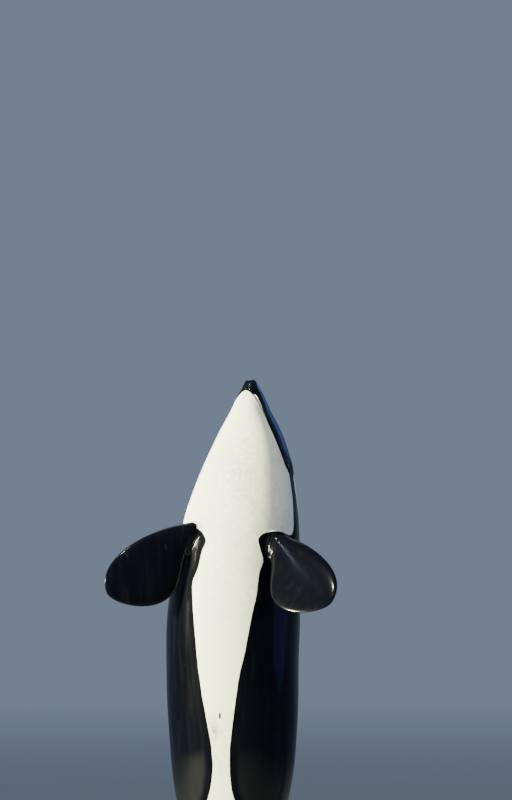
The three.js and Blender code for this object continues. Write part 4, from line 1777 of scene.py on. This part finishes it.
@dataclass(frozen=True)
class EyeFinish:
    """A dark brown eye with a black pupil under a clear wet coat.

    The spans are tilts from the ball's front pole, in radians.
    """

    pupil: Triple = (0.002, 0.002, 0.002)
    iris: Triple = (0.05, 0.022, 0.01)
    rim: Triple = (0.012, 0.008, 0.008)
    white_of_eye: Triple = (0.10, 0.05, 0.04)
    pupil_edge: Pair = (0.14, 0.18)
    iris_edge: Pair = (0.4, 0.46)
    rim_edge: Pair = (0.62, 0.8)

    def make(self) -> Material:
        """The material of the eyeballs."""
        nodes = NodeFinish("wet_eye")
        gaze, rays = nodes.mark("gaze"), nodes.noise(260.0, 3.0)
        iris = nodes.mix(rays, self.iris, self.rim)
        colour = nodes.mix(nodes.step(gaze, *self.pupil_edge), self.pupil, iris)
        colour = nodes.mix(nodes.step(gaze, *self.iris_edge), colour, self.rim)
        beyond = nodes.step(gaze + (rays - 0.5) * 0.1, *self.rim_edge)
        return nodes.finish({
            "Base Color": nodes.mix(beyond, colour, self.white_of_eye),
            "Roughness": 0.18 + nodes.rough(0.05, 90.0, 3.0),
            "Specular IOR Level": 0.25,
            "Coat Weight": 0.7,
            "Coat Roughness": 0.03,
        })


@dataclass(frozen=True)
class PaintFinish:
    """Fine textured dark grey paint, with a little pale dust in places."""

    colour: Triple = (0.035, 0.037, 0.041)
    dusty: Triple = (0.07, 0.072, 0.075)

    def make(self) -> Material:
        """The material of the base."""
        nodes = NodeFinish("base_paint")
        dust = nodes.step(nodes.noise(3.0, 6.0), 0.42, 0.72) * 0.5
        grain = nodes.rough(0.0003, 900.0, 2.0) + nodes.rough(0.0003, 240.0, 2.0)
        return nodes.finish({
            "Base Color": nodes.mix(dust, self.colour, self.dusty),
            "Roughness": 0.5 + nodes.rough(0.2, 14.0, 4.0),
            "Normal": nodes.bumped(grain),
        })


@dataclass(frozen=True)
class SteelFinish:
    """Brushed steel, with fine marks along the upright."""

    colour: Triple = (0.55, 0.56, 0.58)
    smudge: Triple = (0.42, 0.43, 0.45)

    def make(self) -> Material:
        """The material of the rods and what fixes them."""
        nodes = NodeFinish("brushed_steel")
        brushed = nodes.noise(1.0, 3.0, nodes.stretched(700.0, 700.0, 9.0)) - 0.5
        smear = nodes.noise(7.0, 4.0)
        return nodes.finish({
            "Base Color": nodes.mix(nodes.step(smear, 0.45, 0.7), self.colour, self.smudge),
            "Metallic": 1.0,
            "Roughness": 0.27 + brushed * 0.1 + (smear - 0.5) * 0.06,
            "Normal": nodes.bumped(brushed * 0.00002),
        })


class FlipperPose(NamedTuple):
    """How a flipper is held: tilted to the belly, swept to the tail and rolled about itself."""

    side: Side
    tilt: float
    sweep: float
    roll: float
    island: Island


@dataclass(frozen=True)
class Orca:
    """The animal: one skin over body, fins and lids, and two eyeballs.

    A margin is how far a fin's opening reaches headward and tailward of its root, and a width
    how far round the body to each side.
    """

    skin: BodySkin = BodySkin()
    body_island: Island = Island((0.0, 0.0), (1.0, 0.61))
    body_crowding: float = 0.7
    snout_island: Island = Island((0.62, 0.95), (0.63, 0.96))
    flipper_at: float = 0.944
    flipper_angle: float = 42 * DEGREE
    flipper_margin: Pair = (0.16, 0.17)
    flipper_width: float = 27 * DEGREE
    flippers: tuple[FlipperPose, ...] = (
        FlipperPose(Side.LEFT, 34.5 * DEGREE, 20 * DEGREE, 28.5 * DEGREE,
                    Island((0.0, 0.8), (0.6, 0.89))),
        FlipperPose(Side.RIGHT, 29.5 * DEGREE, 29.5 * DEGREE, 10 * DEGREE,
                    Island((0.0, 0.9), (0.6, 0.99))),
    )
    flipper: FinForm = FinForm(
        leading=((-0.075, -0.067), (0.129, -0.148), (0.558, -0.146), (0.583, 0.079)),
        trailing=((-0.075, 0.052), (0.219, -0.014), (0.063, 0.522), (0.597, 0.202), (0.583, 0.079)),
        thickness=0.092,
    )
    dorsal_at: float = 1.84
    dorsal_margin: Pair = (0.4, 0.38)
    dorsal_width: float = 19 * DEGREE
    dorsal: FinForm = FinForm(
        leading=((-0.07, -0.35), (0.15, -0.215), (0.382, 0.06), (0.39, 0.285)),
        trailing=((-0.07, 0.33), (0.11, 0.215), (0.24, 0.17), (0.392, 0.335), (0.39, 0.285)),
        thickness=0.076,
    )
    flukes: Flukes = Flukes()
    slits: tuple[Slit, ...] = (
        Slit("blowhole", 0.455, math.pi, 0.07, 0.008, 0.012, 0.0035, True, (0.04, 0.06),
             Island((0.66, 0.93), (0.74, 0.97)), bow=0.016),
        Slit("navel", 1.916, -1.0 * DEGREE, 0.036, 0.014, 0.008, 0.0015, False, (0.06, 0.045),
             Island((0.75, 0.93), (0.8, 0.97))),
        Slit("genital_slit", 2.6, -0.5 * DEGREE, 0.17, 0.01, 0.011, 0.004, False, (0.13, 0.05),
             Island((0.81, 0.93), (0.87, 0.97))),
        Slit("vent", 2.8, -0.5 * DEGREE, 0.03, 0.01, 0.008, 0.002, False, (0.05, 0.04),
             Island((0.88, 0.93), (0.92, 0.97))),
    )
    eyes: tuple[Eye, ...] = (
        Eye(Side.LEFT, Island((0.66, 0.975), (0.76, 0.993))),
        Eye(Side.RIGHT, Island((0.78, 0.975), (0.88, 0.993))),
    )
    flesh: tuple[str, ...] = (
        "head", "lower_jaw", "chest", "trunk", "abdomen", "tail_stock", "tail_end",
        "flipper_left", "flipper_right", "dorsal_fin", "fluke_left", "fluke_right",
    )

    def flipper_fin(self, pose: FlipperPose) -> Fin:
        """A flipper: out to its side and the belly, swept tailward."""
        form, at, side = self.skin.form, self.flipper_at, pose.side.value
        left, rear, head = form.directions(at)
        level = math.cos(pose.sweep) * math.cos(pose.tilt)
        sunk = math.cos(pose.sweep) * math.sin(pose.tilt)
        out = left * side * level - rear * sunk - head * math.sin(pose.sweep)
        centre = side * self.flipper_angle
        before, after = self.flipper_margin
        return Fin(
            name=f"flipper_{pose.side.label}",
            form=self.flipper,
            blade=Blade.standing(form.surface(at, centre), out, head, -side * pose.roll),
            near=at,
            at_span=(at - before, at + after),
            angle_span=(centre - self.flipper_width, centre + self.flipper_width),
            fillet=0.03,
            rings=76,
            island=pose.island,
            fold=0.7,
            wrinkle=0.0022,
        )

    def dorsal_fin(self) -> Fin:
        """The fin on the back."""
        form, at = self.skin.form, self.dorsal_at
        _, rear, head = form.directions(at)
        before, after = self.dorsal_margin
        return Fin(
            name="dorsal_fin",
            form=self.dorsal,
            blade=Blade.standing(form.surface(at, math.pi), rear, head),
            near=at,
            at_span=(at - before, at + after),
            angle_span=(math.pi - self.dorsal_width, math.pi + self.dorsal_width),
            fillet=0.035,
            rings=44,
            island=Island((0.66, 0.8), (0.985, 0.92)),
        )

    def build_skin(self, finish: Material) -> None:
        """The whole skin as one closed mesh in place of the nodes of flesh."""
        grid = BodyGrid(self.skin)
        builder = SkinBuilder(self.skin, grid)
        at, angles = grid.at[:, None] + 0 * grid.angles, grid.angles
        numbers = builder.add(self.skin.point(at, angles), self.skin.marks(at, angles))
        fins = [self.flipper_fin(pose) for pose in self.flippers]
        parts = (*fins, self.dorsal_fin(), *self.slits)
        openings = [part.build(builder) for part in parts]
        openings += [eye.build_lids(builder) for eye in self.eyes]
        rises = (grid.at / grid.at[-1]) ** self.body_crowding
        builder.loft(numbers, self.body_island, grid.kept(openings), rises)
        builder.fan(numbers[0], self.skin.form.axis(0.0), self.snout_island)
        self.flukes.build(builder, numbers[-1])
        dress(builder.build("orca_skin"), finish, "skin", *self.flesh)

    def build(self) -> None:
        """Builds and dresses the animal."""
        self.build_skin(SkinFinish().make())
        eye_finish = EyeFinish().make()
        for eye in self.eyes:
            eye.build_ball(self.skin, eye_finish)


@dataclass(frozen=True)
class Rod:
    """A rod of the stand, with its flange and the number of screws that hold it.

    Rear is how far it stands behind the middle, and near a distance along the body close to
    where it meets the skin.
    """

    place: str
    radius: float
    flange: float
    rear: float
    screws: int
    near: float
    sides: int = 64


@dataclass(frozen=True)
class DisplayStand:
    """A round base with rounded rims, and two rods on screwed flanges up to the skin.

    A rod runs on into the skin by rod_sunk, and its rod_rows are shares of its height. The
    ring at its top is ring_out wider than the rod and lies ring_down below the join. Screws
    stand at a share of the way from the rod to the flange's rim.
    """

    form: BodyForm = BODY
    base_radius: float = 1.0
    base_height: float = 0.08
    base_round: float = 0.012
    base_sides: int = 192
    flat_rim: float = 0.002
    rim_steps: int = 7
    cut: float = 0.0003
    flange_height: float = 0.024
    flange_round: float = 0.006
    flange_sides: int = 96
    rods: tuple[Rod, ...] = (
        Rod("front", 0.042, 0.13, -0.07, 6, 3.1),
        Rod("rear", 0.024, 0.08, 0.25, 4, 3.7),
    )
    rod_heights: Pair = (0.35, 1.6)
    rod_steps: int = 500
    rod_sunk: float = 0.006
    rod_rows: tuple[float, ...] = (0, 0.001, 0.5, 0.999, 1.0)
    screw_share: float = 0.58
    screw_radius: float = 0.009
    screw_height: float = 0.006
    screw_gap: float = 0.0002
    screw_flat: float = 0.97
    screw_rows: int = 7
    screw_sides: int = 24
    ring_thick: float = 0.005
    ring_out: float = 0.003
    ring_down: float = 0.003
    ring_sides: int = 96
    ring_round_sides: int = 20

    def disc(self, name: str, radius: float, low: float, high: float, rim: float, rear: float,
             sides: int) -> Piece:
        """A disc with quarter-round rims, with rings that keep its flats flat.

        Args:
            name: The piece's name.
            radius: Its radius.
            low: Height of its underside.
            high: Height of its top.
            rim: Radius of its rims.
            rear: How far its middle lies behind the stand's.
            sides: How many sides it has.

        Returns:
            The object.
        """
        arc, turn = np.linspace(0, np.pi / 2, self.rim_steps), circle(sides)
        sine, cosine = rim * np.sin(arc), rim * np.cos(arc)
        inner = radius - rim - self.flat_rim
        wide = np.array([inner, *radius - rim + sine, *radius - rim + cosine, inner])[:, None]
        height = np.array([low, *low + rim - cosine, *high - rim + sine, high])[:, None]
        rings = np.stack(np.broadcast_arrays(
            wide * np.cos(turn), wide * np.sin(turn) + rear, height), -1)
        return closed_rings(name, rings, np.array([[0, rear, low], [0, rear, high]]))

    def rod_tops(self, rod: Rod, radius: float, sides: int) -> tuple[Array, Array, Array]:
        """Upright lines at a radius round a rod: both flat coordinates and heights at the skin."""
        turn = circle(sides)
        x, y = radius * np.cos(turn), rod.rear + radius * np.sin(turn)
        z = np.linspace(*self.rod_heights, self.rod_steps)
        points = np.stack(np.broadcast_arrays(x, y, z[:, None]), -1)
        return x, y, first_crossing(z, 1 - self.form.locate(points, rod.near)[2])

    def shaft(self, rod: Rod) -> Piece:
        """A rod from its flange to just under the skin."""
        foot = self.base_height + self.flange_height + 2 * self.cut
        x, y, top = self.rod_tops(rod, rod.radius, rod.sides)
        height = between(foot, top + self.rod_sunk, np.array(self.rod_rows)[:, None])
        rings = np.stack(np.broadcast_arrays(x, y, height), -1)
        ends = np.array([[0, rod.rear, foot], [0, rod.rear, top.mean() + self.rod_sunk]])
        return closed_rings(f"rod_{rod.place}", rings, ends)

    def screws(self, rod: Rod, low: float) -> Piece:
        """Round screw heads in a circle on a flange: domes with radius √(1 − height share⁴)."""
        far = between(rod.radius, rod.flange, self.screw_share)
        steps = np.linspace(0, 1, self.screw_rows)[:, None, None]
        turn, spots = circle(self.screw_sides)[:, None], circle(rod.screws)
        radius = self.screw_radius * np.sqrt(1 - (steps * self.screw_flat) ** 4)
        x = far * np.cos(spots) + radius * np.cos(turn)
        y = rod.rear + far * np.sin(spots) + radius * np.sin(turn)
        points = np.stack(np.broadcast_arrays(
            x, y, low + self.screw_gap + self.screw_height * steps), -1)
        numbers = np.arange(x.size).reshape(x.shape)
        caps = np.vstack([numbers[0].T[:, ::-1], numbers[-1].T])
        faces = [ring_quads(numbers).reshape(-1, 4), caps]
        return turn_outwards(make_mesh(f"screws_{rod.place}", points, faces))

    def ring(self, rod: Rod) -> Piece:
        """A ring that follows the skin round a rod's top: a circle carried along the join."""
        x, y, top = self.rod_tops(rod, rod.radius + self.ring_out, self.ring_sides)
        middle = np.stack([x, y, top - self.ring_down], -1)[:, None]
        outward = unit(np.stack([x, y - rod.rear, 0 * x], -1))[:, None]
        turn = circle(self.ring_round_sides)[:, None]
        rings = middle + self.ring_thick * (
            outward * np.cos(turn) + np.array([0, 0, 1.0]) * np.sin(turn))
        numbers = np.arange(rings[..., 0].size).reshape(rings.shape[:2])
        quads = ring_quads(np.vstack([numbers, numbers[:1]])).reshape(-1, 4)
        return turn_outwards(make_mesh(f"ring_{rod.place}", rings, [quads]))

    def build(self) -> None:
        """Builds and dresses the stand."""
        base = self.disc("display_base", self.base_radius, 0.0, self.base_height,
                         self.base_round, 0.0, self.base_sides)
        dress(base, PaintFinish().make(), "stand_base", "stand_base")
        steel = SteelFinish().make()
        low = self.base_height + self.cut
        high = low + self.flange_height
        for rod in self.rods:
            dress(self.shaft(rod), steel, "stand_rod", f"stand_rod_{rod.place}")
            flange = self.disc(f"flange_{rod.place}", rod.flange, low, high, self.flange_round,
                               rod.rear, self.flange_sides)
            dress(flange, steel, "stand_rod", f"stand_flange_{rod.place}")
            dress(self.screws(rod, high), steel, "stand_rod")
            dress(self.ring(rod), steel, "stand_rod")


@dataclass(frozen=True)
class Lamp:
    """A round lamp, placed about the animal and aimed at it.

    Its azimuth is in degrees from the belly's side, and its elevation in degrees.
    """

    name: str
    azimuth: float
    elevation: float
    distance: float
    size: float
    power: float
    colour: Triple


@dataclass(frozen=True)
class Studio:
    """A pale floor under a pale sky, soft lamps and the camera."""

    camera_place: Triple = (3.4346, -19.7203, 2.8948)
    camera_forward: Triple = (-0.16477, 0.98460, 0.05847)
    lens: float = 157.5
    sensor: float = 36.0
    target: Triple = (0.0, 0.0, 2.9)
    sky: Triple = (0.17, 0.215, 0.29)
    fade: Pair = (22.0, 90.0)
    floor_size: float = 400.0
    floor_colour: Triple = (0.50, 0.51, 0.54)
    floor_paler: float = 1.06
    lamps: tuple[Lamp, ...] = (
        Lamp("key", -54, 13, 9.0, 1.4, 5000, (1.0, 1.0, 0.60)),
        Lamp("spark", -25, 57, 9.0, 0.5, 450, (1.0, 1.0, 0.85)),
        Lamp("sheen", -60, 49, 9.0, 0.3, 60, (0.6, 0.75, 1.0)),
        Lamp("fill", 98, 12, 9.0, 7.0, 120, (0.2, 0.24, 1.0)),
        Lamp("rim", 153, 24, 9.0, 2.4, 36, (0.12, 0.32, 1.0)),
        Lamp("top", -160, 58, 8.0, 4.0, 110, (0.95, 0.97, 1.0)),
    )

    def build_camera(self) -> None:
        """The camera, upright, without shift or blur."""
        data = bpy.data.cameras.new("camera")
        data.sensor_fit, data.sensor_width, data.lens = "AUTO", self.sensor, self.lens
        data.clip_end = 2 * self.floor_size
        camera = link("camera", data)
        camera.location = self.camera_place
        camera.rotation_euler = Vector(self.camera_forward).to_track_quat("-Z", "Y").to_euler()
        bpy.context.scene.camera = camera

    def build_lamps(self) -> None:
        """The lamps, each facing the animal."""
        for lamp in self.lamps:
            data = bpy.data.lights.new(lamp.name, "AREA")
            data.shape = "DISK"
            data.size, data.energy, data.color = lamp.size, lamp.power, lamp.colour
            light = link(lamp.name, data)
            turn, rise = lamp.azimuth * DEGREE, lamp.elevation * DEGREE
            level = math.cos(rise)
            away = Vector((math.sin(turn) * level, -math.cos(turn) * level, math.sin(rise)))
            light.location = Vector(self.target) + away * lamp.distance
            light.rotation_euler = away.to_track_quat("Z", "Y").to_euler()

    def build_sky(self) -> None:
        """An even pale sky."""
        world = bpy.data.worlds.new("sky")
        world.use_nodes = True
        background = world.node_tree.nodes["Background"]
        background.inputs["Color"].default_value = (*self.sky, 1.0)
        bpy.context.scene.world = world

    def build_floor(self) -> None:
        """A plain pale floor that fades into the sky far away."""
        half, none = self.floor_size / 2, (0.0, 0.0, 0.0)
        corners = np.array([[-half, -half, 0], [half, -half, 0], [half, half, 0], [-half, half, 0]])
        floor = make_mesh("floor", corners, [np.array([[0, 1, 2, 3]])])
        nodes = NodeFinish("floor_paint")
        paler = tuple(self.floor_paler * part for part in self.floor_colour)
        colour = nodes.mix(nodes.noise(0.35, 4.0), self.floor_colour, paler)
        away = nodes.node("VectorMath", {"operation": "LENGTH"}, {"Vector": nodes.place()}, "Value")
        far = nodes.step(away, *self.fade)
        floor.data.materials.append(nodes.finish({
            "Base Color": nodes.mix(far, colour, none),
            "Emission Color": nodes.mix(far, none, self.sky),
            "Emission Strength": 1.0,
            "Roughness": 0.8,
            "Specular IOR Level": 0.0,
        }))

    def build(self) -> None:
        """Builds the studio."""
        self.build_camera()
        self.build_lamps()
        self.build_sky()
        self.build_floor()
        log.info("studio ready")


def main() -> None:
    """Builds the animal, its stand and the studio."""
    logging.basicConfig(level=logging.INFO, format="%(message)s")
    Orca().build()
    DisplayStand().build()
    Studio().build()


if __name__ == "__main__":
    main()
